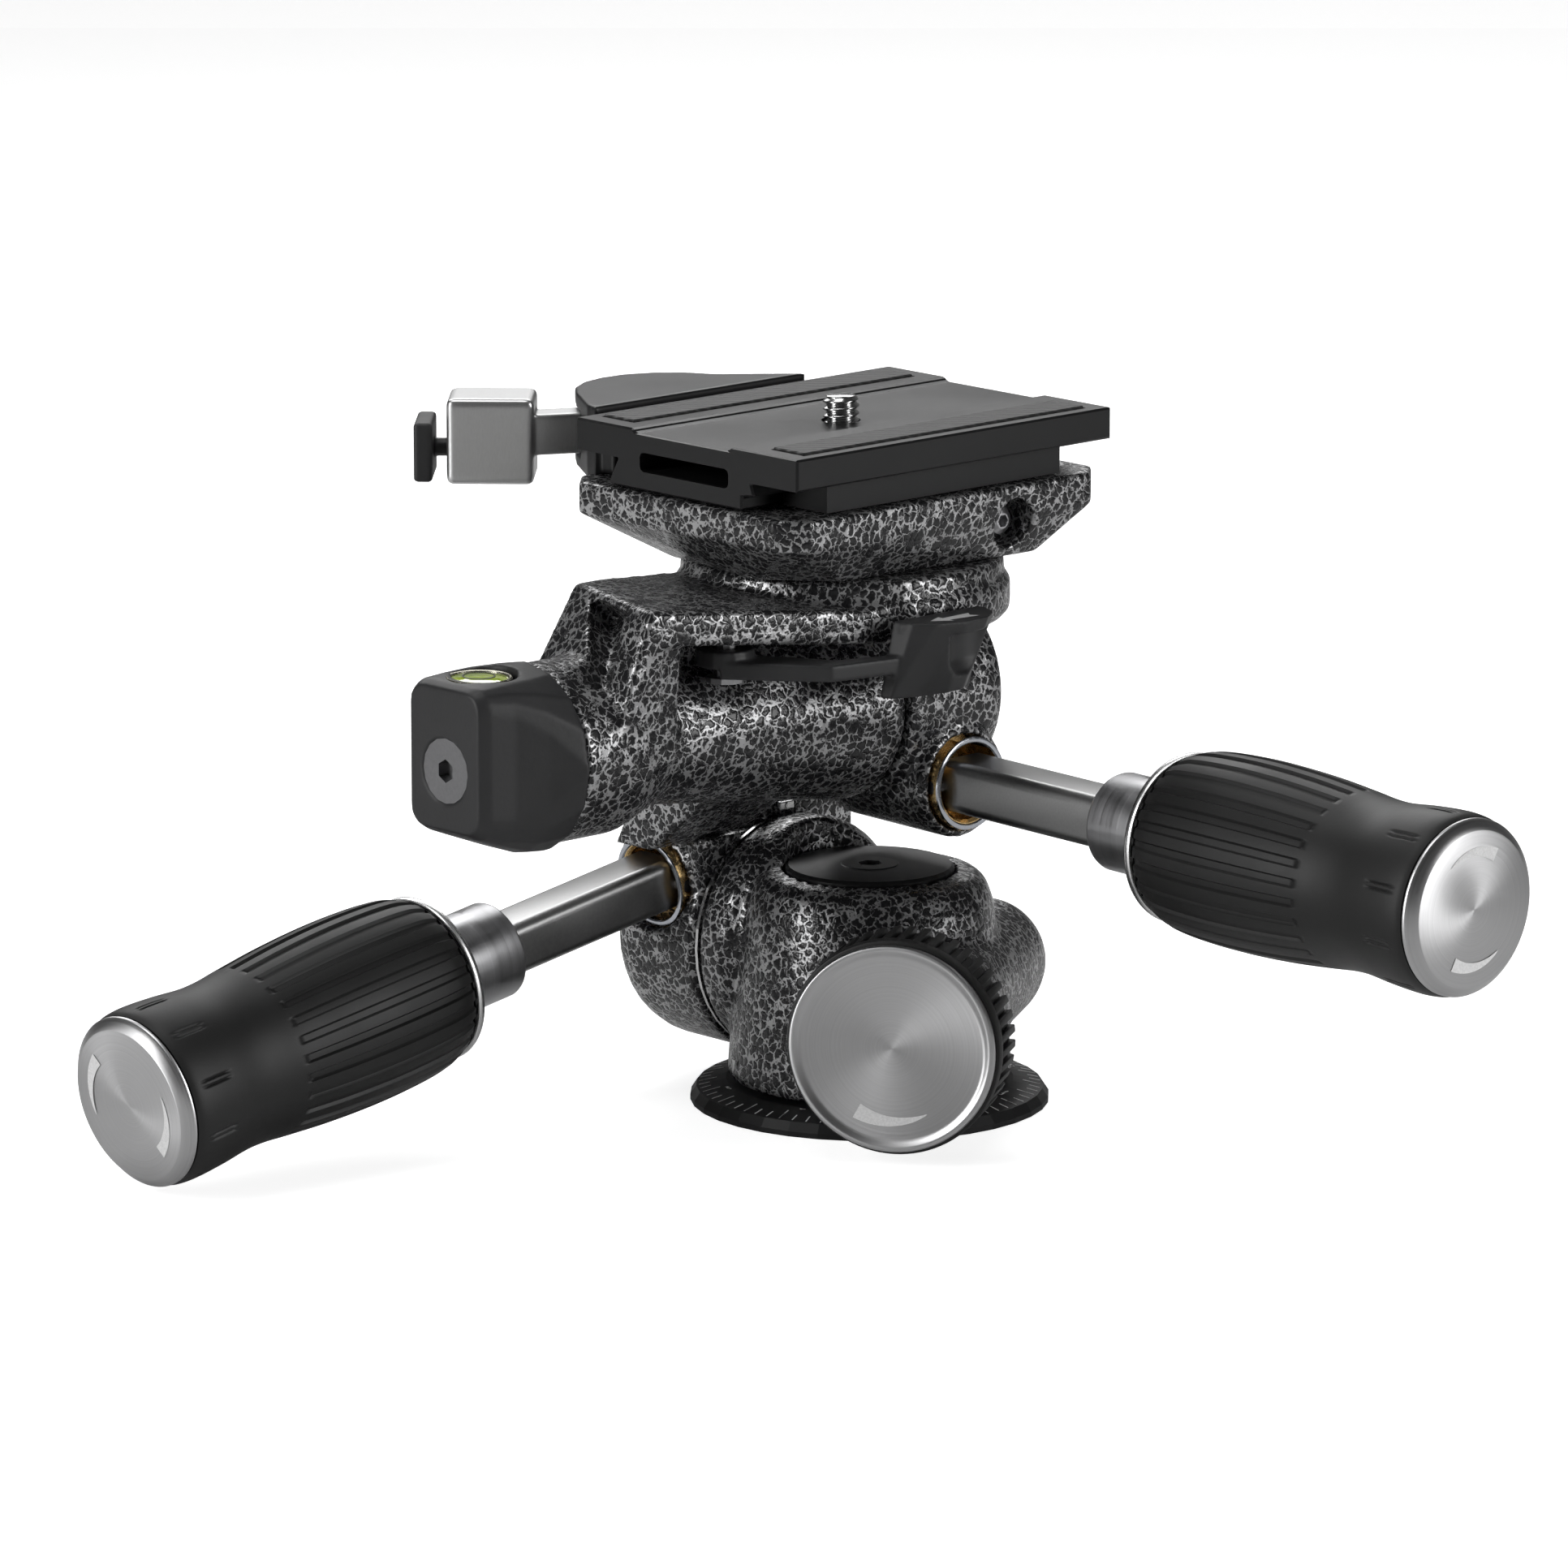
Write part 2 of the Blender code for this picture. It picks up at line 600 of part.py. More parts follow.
def make_middle_body():
    depth = middle_back - middle_front
    rim = [(r * middle_radius, middle_front + s * depth) for r, s in middle_shares]
    body = turned("middle_body", [
        (0, middle_back), *rim, (middle_radius, middle_front + hub_edge),
        (middle_radius - hub_edge, middle_front), (0, middle_front),
    ], "roll", roll_axis, "hammertone", big_steps)
    front = middle_front
    block_points = []
    for x, top, shoulder in ((neck_foot_left, neck_shoulder, neck_shoulder),
                             (neck_right, neck_shoulder, neck_right_height)):
        block_points += [(x, front, neck_bottom), (x, neck_back, neck_bottom),
                         (x, neck_back, neck_back_height), (x, neck_shoulder_back, shoulder),
                         (x, front, top)]
    neck = hull("neck", block_points, "roll", Matrix(), bevel=hub_edge)
    arm_points = []
    for x in (neck_left, arm_right):
        arm_points += [(x, arm_foot_front, arm_foot_height), (x, arm_foot_back, arm_foot_height)]
        arm_points += [(x, nod_offset + y, nod_height + z)
                       for y, z in circle(eye_radius, small_steps)]
    arm = hull("neck_arm", arm_points, "roll", Matrix())
    boss, bore = boss_forms("left", "roll", left_handle, left_foot)
    join(body, neck, arm, boss)
    sleeve_bore = rod("roll_bore", sleeve_outer + gap, 0, middle_back + overrun, "roll",
                      roll_axis)
    eye = rod("neck_eye", nod_shaft_radius + gap, neck_left - overrun, arm_right + overrun,
              "roll", nod_axis, steps=small_steps)
    pocket = span("neck_pocket", (pocket_left, front - overrun, pocket_floor),
                  (pocket_right, front + pocket_depth, pocket_ceiling), "roll", Matrix(),
                  bevel=hub_edge)
    cut(body, sleeve_bore, eye)
    cut(body, bore, pocket, solver="MANIFOLD")
    way = rod("index_way", index_height / 2, 0, front + index_width, "roll",
              at(0, 0, index_bottom + index_height / 2) @ ALONG_Y, steps=bolt_steps)
    cut(body, way, solver="MANIFOLD")
    plate = span("roll_index", (-index_width / 2, index_front, index_bottom),
                 (index_width / 2, front - gap, index_bottom + index_height), "roll", Matrix(),
                 "spun_aluminium", cap_edge / 2)
    pin = rod("index_pin", index_height / 2 - gap, front - index_height, front + index_height,
              "roll", at(0, 0, index_bottom + index_height / 2) @ ALONG_Y, steps=bolt_steps)
    join(plate, pin)
    rod("roll_shaft", roll_shaft_radius, roll_shaft_start, roll_shaft_end, "pan", roll_axis,
        "brushed_steel")
    sleeve = ring("roll_bush", roll_shaft_radius + gap, sleeve_outer, middle_front + gap,
                  roll_shaft_end - gap, "roll", roll_axis, "black_plastic")
    notch = rod("roll_bush_notch", clamp_bore, -anchor_length * 2, anchor_length * 2, "roll",
                left_handle @ at(0, 0, left_foot), steps=small_steps)
    cut(sleeve, notch)
    jaw_pair("left", "roll", "left_shoe", left_handle, roll_axis, roll_shaft_radius, left_foot,
             handle_shoe_length)
    cap_back = middle_back + gap + rear_cap_thickness
    thread = cap_screw_radius + gap
    turned("rear_cap", [
        (thread, cap_back), (rear_cap_radius - cap_edge, cap_back),
        (rear_cap_radius, cap_back - cap_edge), (rear_cap_radius, middle_back + gap),
        (roll_shaft_radius, middle_back + gap), (roll_shaft_radius, roll_shaft_end + gap),
        (thread, roll_shaft_end + gap),
    ], "pan", roll_axis, "hammertone", big_steps)
    button_screw("rear_cap_screw", "pan", at(0, cap_back + gap, roll_height) @ ALONG_Y,
                 rear_head_radius, rear_head_height, cap_screw_radius, rear_screw_length,
                 cap_screw_radius)
    shaft = bpy.data.objects["roll_shaft"]
    cut(shaft, rod("roll_shaft_thread", thread, cap_back - rear_screw_length, roll_shaft_end
                   + overrun, "pan", roll_axis, steps=bolt_steps))


# Handles: a brass bush in the boss, and a grip on a flat-sided shaft that folds at a pin
handle_mouth_radius = 6.4 * MM
handle_mouth_depth = 7.6 * MM
pivot_depth = 1.8 * MM
pivot_radius = 1.1 * MM
shaft_width = 10.5 * MM
shaft_thickness = 9.0 * MM
shaft_corner = 2.0 * MM
shaft_reach = 42.0 * MM
collar_start = 36.0 * MM
collar_radius = 8.4 * MM
collar_edge = 0.8 * MM
ring_start = 51.2 * MM
ring_thickness = 1.6 * MM
ring_inner_radius = 8.8 * MM
ring_outer_radius = 13.9 * MM
grip_end = 114.8 * MM
grip_radius = 15.3 * MM
grip_shares = (
    (0.915, 0.0), (0.97, 0.06), (0.995, 0.16), (1.0, 0.3), (0.975, 0.46), (0.925, 0.6),
    (0.9, 0.7), (0.905, 0.78), (0.94, 0.9), (0.945, 0.96), (0.92, 1.0),
)
grip_flutes = 20
flute_sides = 6
flute_radius = 0.7 * MM
flute_start_share = 0.06
flute_end_share = 0.62
end_cap_radius = 14.1 * MM
end_cap_thickness = 2.4 * MM
end_cap_chamfer = 1.2 * MM
end_cap_plug_radius = 8.0 * MM
end_cap_plug_depth = 4.0 * MM
handle_stud_end = -9.6 * MM


def make_handle(side, parent, handle, foot):
    """One handle. Its own frame has +Z outward and +X along the fold pin."""
    twist, fold = f"{side}_twist", f"{side}_fold"
    pivot = handle @ at(0, 0, -pivot_depth)
    frame(fold, twist, pivot)
    shoe_end = foot + jaw_split / 2 + handle_shoe_length
    bush = turned(f"{side}_bush", [
        (0, -handle_mouth_depth), (handle_mouth_radius, -handle_mouth_depth),
        (handle_mouth_radius, -cap_edge), (handle_mouth_radius + cap_edge, 0), (bush_radius, 0),
        (bush_radius, shoe_end + gap), (stud_radius, shoe_end + gap),
        (stud_radius, foot - jaw_split / 2 - anchor_length), (0, foot - jaw_split / 2
                                                              - anchor_length),
    ], twist, handle, "brass", mid_steps)
    opening = span(f"{side}_fold_slot", (-handle_mouth_radius, -bush_radius * 2,
                                         -pivot_depth - shaft_thickness / 2),
                   (handle_mouth_radius, -2 * pivot_radius, overrun), twist, handle)
    hole = rod(f"{side}_pin_hole", pivot_radius + gap, -bush_radius * 2, bush_radius * 2, twist,
               pivot @ ALONG_X, steps=bolt_steps)
    cut(bush, opening, hole, solver="MANIFOLD")
    pin_half = sqrt(bush_radius ** 2 - pivot_radius ** 2) - gap
    rod(f"{side}_pivot_pin", pivot_radius, -pin_half, pin_half, twist, pivot @ ALONG_X,
        "brushed_steel", bolt_steps)

    section = rounded(shaft_width, shaft_thickness, shaft_corner, count=3)
    shaft = outline(f"{side}_shaft", section, 0, pivot_depth + shaft_reach, fold, pivot,
                    "satin_steel")
    knuckle_half = (shaft_width - shaft_corner) / 2
    knuckle = rod(f"{side}_knuckle", shaft_thickness / 2, -knuckle_half, knuckle_half, fold,
                  pivot @ ALONG_X, steps=small_steps)
    join(shaft, knuckle)
    hole = rod(f"{side}_knuckle_hole", pivot_radius + gap, -shaft_width, shaft_width, fold,
               pivot @ ALONG_X, steps=bolt_steps)
    cut(shaft, hole, solver="MANIFOLD")
    collar = turned(f"{side}_collar", [
        (0, ring_start - gap), (collar_radius, ring_start - gap),
        (collar_radius, collar_start + collar_edge), (collar_radius - collar_edge, collar_start),
        (0, collar_start),
    ], fold, handle, "brushed_steel")
    seat = outline(f"{side}_collar_seat", rounded(shaft_width + 2 * gap, shaft_thickness
                                                  + 2 * gap, shaft_corner, count=3),
                   collar_start - overrun, shaft_reach + gap, fold, handle)
    cut(collar, seat)
    ring_end = ring_start + ring_thickness
    turned(f"{side}_ring", [
        (0, ring_end), (ring_outer_radius - cap_edge, ring_end),
        (ring_outer_radius, ring_end - cap_edge), (ring_outer_radius, ring_start + cap_edge),
        (ring_outer_radius - cap_edge, ring_start), (0, ring_start),
    ], fold, handle, "spun_aluminium")
    grip_start = ring_end + gap
    length = grip_end - grip_start
    sides = [(r * grip_radius, grip_start + s * length) for r, s in reversed(grip_shares)]
    plug = end_cap_plug_radius + gap
    floor = grip_end - end_cap_plug_depth - gap
    grip = turned(f"{side}_grip", [
        (0, floor), (plug, floor), (plug, grip_end), *sides, (0, grip_start),
    ], fold, handle, "rubber", mid_steps)
    bm = bmesh.new()
    low = grip_start + flute_start_share * length
    high = grip_start + flute_end_share * length
    for i in range(grip_flutes):
        turn = Matrix.Rotation(2 * pi * (i + 0.5) / grip_flutes, 4, "Z")
        made = bmesh.ops.create_cone(bm, cap_ends=True, segments=flute_sides, radius1=flute_radius,
                                     radius2=flute_radius, depth=high - low)["verts"]
        bmesh.ops.transform(bm, matrix=turn @ at(grip_radius, 0, (low + high) / 2), verts=made)
    cut(grip, node(f"{side}_flutes", mesh_of(bm, f"{side}_flutes"), fold, handle))
    top = grip_end + gap + end_cap_thickness
    turned(f"{side}_end_cap", [
        (0, top), (end_cap_radius - end_cap_chamfer, top),
        (end_cap_radius, top - end_cap_chamfer), (end_cap_radius, grip_end + gap),
        (end_cap_plug_radius, grip_end + gap),
        (end_cap_plug_radius, grip_end - end_cap_plug_depth),
        (0, grip_end - end_cap_plug_depth),
    ], fold, handle, "spun_aluminium")


# Upper body: one casting with the barrel of the front tilt, its left web and the swivel seat
barrel_shares = (
    (0.943, 0.0), (1.0, 0.033), (0.674, 0.671), (0.869, 0.813), (0.869, 1.0),
)
barrel_left = -71.2 * MM
seat_radius = 28.6 * MM
seat_depth = 11.2 * MM
seat_bottom = platform_height - seat_depth
seat_edge = 1.7 * MM
seat_step = 4.0 * MM
seat_top = platform_height - seat_step
flange_radius = 27.5 * MM
plate_thickness = 5.8 * MM
seat_level = Vector((0, 0, platform_height))
nod_level = Vector((0, 0, nod_height))
arm_front_right = Vector((-12.0 * MM, -18.5 * MM, -5.3 * MM))
arm_front_left = Vector((-58.0 * MM, -9.0 * MM, -0.8 * MM))
arm_back_left = Vector((-46.0 * MM, 18.0 * MM, -0.5 * MM))
arm_back_right = Vector((-10.0 * MM, 24.0 * MM, -4.0 * MM))
web_right = -51.0 * MM
web_low_front = Vector((-67.0 * MM, -7.5 * MM, -2.2 * MM))
web_low_back = Vector((-62.0 * MM, 18.0 * MM, 8.8 * MM))
web_corner = Vector((-50.0 * MM, 18.0 * MM, 2.8 * MM))
spine_front = 2.2 * MM
spine_back = 16.0 * MM
spine_drop = 13.5 * MM
spine_sink = 6.0 * MM
web_pocket_low = Vector((-66.0 * MM, -2.0 * MM, -15.5 * MM))
web_pocket_high = Vector((-55.0 * MM, -2.0 * MM, -3.5 * MM))
web_pocket_back = Vector((-50.0 * MM, 12.0 * MM, -3.5 * MM))
web_pocket_depth = 3.0 * MM
nod_up = radians(17)
nod_down = radians(65)
eye_gap = 0.5 * MM
left_sleeve_length = 14.0 * MM
nod_shaft_right = 19.6 * MM
cap_gap = 0.6 * MM
cap_right = 23.0 * MM
cap_cut_height = seat_bottom - gap
right_cap_radius = 18.0 * MM
right_cap_shares = ((0.8, 1.0), (0.955, 0.925), (1.0, 0.8))
swivel_bolt_radius = 4.0 * MM
swivel_bolt_depth = 10.5 * MM
swivel_bolt_bottom = platform_height - swivel_bolt_depth
lever_pivot = Vector((-38.0 * MM, -5.0 * MM, 0))
lever_pin_radius = 1.8 * MM
lever_hub_radius = 5.0 * MM
lever_gap = 0.4 * MM
lever_arm_top = seat_bottom - lever_gap
lever_arm_thickness = 2.9 * MM
lever_arm_bottom = lever_arm_top - lever_arm_thickness
lever_hub_sunk = 1.3 * MM
lever_hub_bottom = lever_arm_top - lever_hub_sunk
lever_hub_thickness = 3.0 * MM
lever_hub_top = lever_hub_bottom + lever_hub_thickness
lever_pin_grip = 3.9 * MM
lever_pin_top = lever_hub_top + lever_pin_grip
lever_pin_head_share = 1.8

right_direction = Vector((0, -cos(right_droop), -sin(right_droop)))
right_handle = aimed(right_socket, right_direction) @ Matrix.Rotation(pi, 4, "Z")
nod_centre = Vector((right_socket.x, nod_offset, nod_height))
right_foot = (nod_centre - right_socket).dot(right_direction)
swivel_axis = at(0, nod_offset, 0)
eye_left = neck_left - eye_gap
eye_right = arm_right + eye_gap
sleeve_left = eye_left - left_sleeve_length

frame("nod", "roll", at(0, nod_offset, nod_height))
frame("right_shoe", "nod", right_handle)
frame("right_twist", "nod", right_handle)
frame("swivel_lever", "nod", Matrix.Translation(lever_pivot))


def window_form():
    """The room that the neck arm sweeps in the barrel, between its two ends of travel."""
    radius = eye_radius + eye_gap
    reach = barrel_radius * 2
    foot_back = Vector((arm_foot_back - nod_offset, arm_foot_height - nod_height))
    foot_front = Vector((arm_foot_front - nod_offset, arm_foot_height - nod_height))
    upper = atan2(foot_back.y, foot_back.x) + pi / 2 - asin(eye_radius / foot_back.length)
    lower = atan2(foot_front.y, foot_front.x) - pi / 2 + asin(eye_radius / foot_front.length)
    upper += nod_down
    lower -= nod_up
    points = circle(radius, mid_steps)
    for tangent, side in ((upper, -1), (lower, 1)):
        along = tangent + side * pi / 2
        points.append((radius * cos(tangent) + reach * cos(along),
                       radius * sin(tangent) + reach * sin(along)))
    corners = [(x, nod_offset + y, nod_height + z) for y, z in points
               for x in (eye_left, eye_right)]
    return hull("neck_window", corners, "nod", Matrix())


def make_upper_body():
    length = nod_split - barrel_left
    profile = [(r * barrel_radius, nod_split - s * length) for r, s in barrel_shares]
    body = turned("upper_body", [(0, nod_split), *profile, (0, barrel_left)], "nod", nod_axis,
                  "hammertone", big_steps)
    front_right, front_left, back_left, back_right = [
        seat_level + c for c in (arm_front_right, arm_front_left, arm_back_left, arm_back_right)]
    low_front, low_back, inner = [
        nod_level + c for c in (web_low_front, web_low_back, web_corner)]
    corners = (front_right, front_left, back_left, back_right)
    down = Vector((0, 0, plate_thickness))
    plate = hull("arm_plate", [*corners, *(c - down for c in corners)], "nod", Matrix())
    web = hull("web", [
        front_left, back_left, (web_right, front_left.y, front_left.z - cap_edge),
        (web_right, back_left.y, back_left.z), low_front, low_back, inner,
        (web_right, low_front.y, low_front.z),
    ], "nod", Matrix())
    spine = span("spine", (web_right - overrun, spine_front, platform_height - spine_drop),
                 (nod_split, spine_back, platform_height - spine_sink), "nod", Matrix())
    seat = turned("swivel_seat", [
        (0, platform_height - gap), (flange_radius, platform_height - gap),
        (flange_radius, seat_top), (seat_radius, seat_top - cap_edge),
        (seat_radius, seat_bottom + seat_edge), (seat_radius - seat_edge, seat_bottom),
        (0, seat_bottom),
    ], "nod", swivel_axis, steps=big_steps)
    join(body, plate, web, spine, seat)
    across = (web_pocket_high - web_pocket_low).cross(web_pocket_back - web_pocket_low)
    across = across.normalized() * web_pocket_depth
    corners = (web_pocket_low, web_pocket_high, web_pocket_back)
    pocket = hull("web_pocket", [seat_level + c + side * across for c in corners
                                 for side in (-1, 1)], "nod",
                  Matrix())
    bore = rod("nod_bore", nod_shaft_radius + gap, sleeve_left, overrun, "nod", nod_axis)
    sleeve_room = rod("left_sleeve_bore", sleeve_outer + gap, sleeve_left - gap, eye_left + gap,
                      "nod", nod_axis)
    bolt = rod("swivel_thread", swivel_bolt_radius + gap, swivel_bolt_bottom - gap,
               platform_height + overrun, "nod", swivel_axis, steps=small_steps)
    pin = rod("lever_pin_seat", lever_pin_radius + gap, lever_hub_bottom, lever_pin_top + gap,
              "nod", Matrix.Translation(lever_pivot), steps=bolt_steps)
    thread = rod("axis_screw_thread", axis_screw_radius + gap, barrel_left - axis_screw_grip,
                 barrel_left + axis_screw_grip, "nod", nod_axis, steps=bolt_steps)
    cut(body, pocket, window_form(), bore, sleeve_room)
    cut(body, bolt, pin, thread, solver="MANIFOLD")

    cap_left = nod_split + cap_gap
    width = cap_right - cap_left
    rim = [(r * right_cap_radius, cap_left + s * width) for r, s in right_cap_shares]
    cap = turned("right_cap", [
        (0, cap_right), *rim, (right_cap_radius, cap_left + cap_edge),
        (right_cap_radius - cap_edge, cap_left), (0, cap_left),
    ], "nod", nod_axis, "hammertone", big_steps)
    boss, clamp = boss_forms("right", "nod", right_handle, right_foot)
    join(cap, boss)
    top = block("cap_flat", (seat_radius * 2, seat_radius * 2, seat_radius),
                (0, nod_offset, cap_cut_height + seat_radius / 2), "nod", Matrix())
    sleeve_bore = rod("right_sleeve_bore", sleeve_outer + gap, cap_left - overrun,
                      nod_shaft_right + gap, "nod", nod_axis)
    cut(cap, top, sleeve_bore, clamp)

    rod("nod_shaft", nod_shaft_radius, sleeve_left + gap, nod_shaft_right, "roll", nod_axis,
        "brushed_steel")
    inner = nod_shaft_radius + gap
    ring("nod_bush_left", inner, sleeve_outer, sleeve_left, eye_left - gap, "nod", nod_axis,
         "black_plastic")
    sleeve = ring("nod_bush_right", inner, sleeve_outer, cap_left + gap, nod_shaft_right,
                  "nod", nod_axis, "black_plastic")
    reach = anchor_length * 2
    notch = rod("nod_bush_notch", clamp_bore, -reach, reach, "nod",
                right_handle @ at(0, 0, right_foot), steps=small_steps)
    cut(sleeve, notch)
    jaw_pair("right", "nod", "right_shoe", right_handle, nod_axis, nod_shaft_radius, right_foot,
             handle_shoe_length)


# Level housing on the barrel's left end, with the bullseye level and the long axis screw
level_start = -71.5 * MM
level_end = -92.0 * MM
level_radius = 16.0 * MM
# Each row: place along the housing, half width, top, bottom and corner, of its base radius
level_shares = (
    (0.0, 1.0, 1.0, 1.0, 1.0), (0.12, 0.93, 0.985, 0.985, 0.9), (0.35, 0.8, 0.965, 0.93, 0.7),
    (0.65, 0.66, 0.94, 0.8, 0.5), (0.9, 0.6, 0.915, 0.69, 0.4), (1.0, 0.53, 0.86, 0.62, 0.36),
)
level_corner_share = 0.999
level_face_share = 0.93
vial_radius = 5.6 * MM
vial_place = -82.0 * MM
vial_depth = 6.0 * MM
vial_sunk = 0.4 * MM
vial_dome = 0.6 * MM
vial_shoulder = 0.48 * MM
axis_screw_radius = 2.5 * MM
axis_screw_head = 5.5 * MM
axis_screw_sink = 2.8 * MM
axis_screw_grip = 8.0 * MM
axis_screw_key = 2.0 * MM
axis_screw_key_depth = 2.2 * MM


def make_level():
    rows = []
    for along, half, top, bottom, corner in level_shares:
        x = level_start + (level_end - level_start) * along
        height = (top + bottom) * level_radius
        centre = (top - bottom) * level_radius / 2
        points = rounded(2 * half * level_radius, height,
                         corner * half * level_radius * level_corner_share, (0, centre))
        rows.append([(x, nod_offset + y, nod_height + z) for y, z in points])
    housing = loft("level_housing", rows, "nod", Matrix(), "black_plastic")
    screw_way = turned("axis_screw_way", [
        (0, -level_end + overrun), (axis_screw_head + gap, -level_end + overrun),
        (axis_screw_head + gap, -level_end), (axis_screw_radius + gap, -level_end
                                              - axis_screw_sink - gap),
        (axis_screw_radius + gap, -level_start - overrun), (0, -level_start - overrun),
    ], "nod", nod_axis @ Matrix.Rotation(pi, 4, "X"), steps=small_steps)
    face = nod_height + level_radius * level_face_share
    vial_axis = at(vial_place, nod_offset, face)
    room = rod("vial_room", vial_radius + gap, -vial_depth - gap, level_radius, "nod", vial_axis,
               steps=mid_steps)
    cut(housing, screw_way, room)
    turned("level_vial", [
        (0, -vial_sunk + vial_dome), (vial_radius / 2, -vial_sunk + vial_shoulder),
        (vial_radius, -vial_sunk), (vial_radius, -vial_depth), (0, -vial_depth),
    ], "nod", vial_axis, "level_fluid", mid_steps)
    outward = nod_axis @ Matrix.Rotation(pi, 4, "X")
    end = -level_end - gap
    screw = turned("axis_screw", [
        (0, end), (axis_screw_head, end), (axis_screw_radius, end - axis_screw_sink),
        (axis_screw_radius, -barrel_left - axis_screw_grip + gap),
        (0, -barrel_left - axis_screw_grip + gap),
    ], "nod", outward, "brushed_steel", small_steps)
    key = outline("axis_screw_hex", circle(axis_screw_key, 6), end - axis_screw_key_depth,
                  end + overrun, "nod", outward)
    cut(screw, key)


# Swivel lock lever: a flat arm on a pin, bent down into a thumb tab
lever_left = Vector((-42.0 * MM, -8.0 * MM))
lever_bend_outer = Vector((-30.0 * MM, -22.5 * MM))
lever_bend_inner = Vector((-26.0 * MM, -19.0 * MM))
lever_clear = 0.8 * MM
tab_thickness = 2.8 * MM
lever_back = nod_offset - seat_radius - lever_clear
lever_front = lever_back - tab_thickness
lever_hub_side = Vector((-34.5 * MM, -3.0 * MM))
tab_left = -16.0 * MM
tab_right = 8.0 * MM
tab_drop = 7.4 * MM
tab_height = 13.0 * MM
tab_bottom = lever_arm_top - tab_drop
tab_top = tab_bottom + tab_height
tab_scoop_radius = 30.0 * MM
tab_scoop_depth = 0.8 * MM


def make_lever():
    arm = outline("swivel_lever", [
        lever_left, lever_bend_outer, (tab_left, lever_front), (tab_right - cap_edge, lever_front),
        (tab_right - cap_edge, lever_back), (tab_left, lever_back), lever_bend_inner,
        lever_hub_side,
    ], lever_arm_bottom, lever_arm_top, "swivel_lever", Matrix(), "black_anodised")
    hub = rod("lever_hub", lever_hub_radius, lever_hub_bottom, lever_hub_top, "swivel_lever",
              steps=small_steps)
    tab = span("lever_tab", (tab_left, lever_front, tab_bottom), (tab_right, lever_back, tab_top),
               "swivel_lever", Matrix(), bevel=boss_edge)
    join(arm, hub, tab)
    middle = (tab_left + tab_right) / 2
    scoop = rod("tab_scoop", tab_scoop_radius, tab_bottom - overrun, tab_top + overrun,
                "swivel_lever",
                at(middle, lever_front + tab_scoop_depth - tab_scoop_radius, 0),
                steps=scoop_steps)
    hole = rod("lever_hole", lever_pin_radius + gap, lever_arm_bottom - overrun,
               lever_hub_top + overrun, "swivel_lever", steps=bolt_steps)
    cut(arm, scoop, hole)
    head = lever_arm_bottom - gap
    pivot = Matrix.Translation(lever_pivot)
    turned("lever_pin", [
        (0, lever_pin_top), (lever_pin_radius, lever_pin_top), (lever_pin_radius, head),
        (lever_pin_radius * lever_pin_head_share, head),
        (lever_pin_radius * lever_pin_head_share, head - lever_pin_radius / 2),
        (0, head - lever_pin_radius / 2),
    ], "nod", pivot, "brushed_steel", bolt_steps)


# Platform: the cut-cornered casting that swivels on the seat and carries the clamp
platform_half = 36.0 * MM
platform_front = -20.0 * MM
platform_back = 34.0 * MM
platform_corner = 9.0 * MM
platform_side_rise = 7.5 * MM
platform_side_bottom = platform_height + platform_side_rise
platform_inset = 15.0 * MM
bolt_head_radius = 8.0 * MM
bolt_head_height = 2.6 * MM
notch_radius = 4.2 * MM
notch_offset = Vector((15.2 * MM, -13.0 * MM, 6.1 * MM))
notch_place = seat_level + notch_offset
notch_screw_radius = 3.0 * MM
notch_screw_height = 3.2 * MM
notch_screw_length = 8.0 * MM

frame("platform", "nod", swivel_axis)


def chamfered(left, right, front, back, corner):
    """A rectangle's outline with straight cut corners."""
    return [
        (left + corner, front), (right - corner, front), (right, front + corner),
        (right, back - corner), (right - corner, back), (left + corner, back),
        (left, back - corner), (left, front + corner),
    ]


def make_platform():
    side = chamfered(-platform_half, platform_half, platform_front, platform_back,
                     platform_corner)
    inset = platform_inset
    foot = chamfered(-platform_half + inset, platform_half - inset, platform_front + inset,
                     platform_back - inset, platform_corner / 2)
    body = hull("platform", [
        *lifted(foot, platform_height), *lifted(side, platform_side_bottom),
        *lifted(side, platform_top),
    ], "platform", Matrix(), "hammertone", hub_edge)
    head_top = platform_top - gap
    head_bottom = head_top - bolt_head_height
    bore = turned("swivel_bolt_way", [
        (0, platform_top + overrun), (bolt_head_radius + gap, platform_top + overrun),
        (bolt_head_radius + gap, head_bottom - gap),
        (swivel_bolt_radius + gap, head_bottom - gap),
        (swivel_bolt_radius + gap, platform_height - overrun),
        (0, platform_height - overrun),
    ], "platform", swivel_axis, steps=small_steps)
    notch_axis = Matrix.Translation(notch_place) @ ALONG_Y
    notch = rod("screw_notch", notch_radius, -platform_inset, 0, "platform", notch_axis,
                steps=small_steps)
    thread = rod("notch_screw_way", cap_screw_radius, -overrun, notch_screw_length + gap,
                 "platform", notch_axis, steps=bolt_steps)
    cut(body, bore, notch, thread)
    button_screw("platform_screw", "platform",
                 Matrix.Translation(notch_place - Vector((0, gap, 0))) @ ALONG_Y
                 @ Matrix.Rotation(pi, 4, "X"), notch_screw_radius, notch_screw_height,
                 cap_screw_radius - gap, notch_screw_length, stud_radius / 2)
    bolt = turned("swivel_bolt", [
        (0, head_top), (bolt_head_radius, head_top), (bolt_head_radius, head_bottom),
        (swivel_bolt_radius, head_bottom), (swivel_bolt_radius, swivel_bolt_bottom),
        (0, swivel_bolt_bottom),
    ], "nod", swivel_axis, "brushed_steel", small_steps)
    key = outline("swivel_bolt_hex", circle(hex_key_radius, 6), head_bottom, head_top + overrun,
                  "nod", swivel_axis)
    cut(bolt, key)


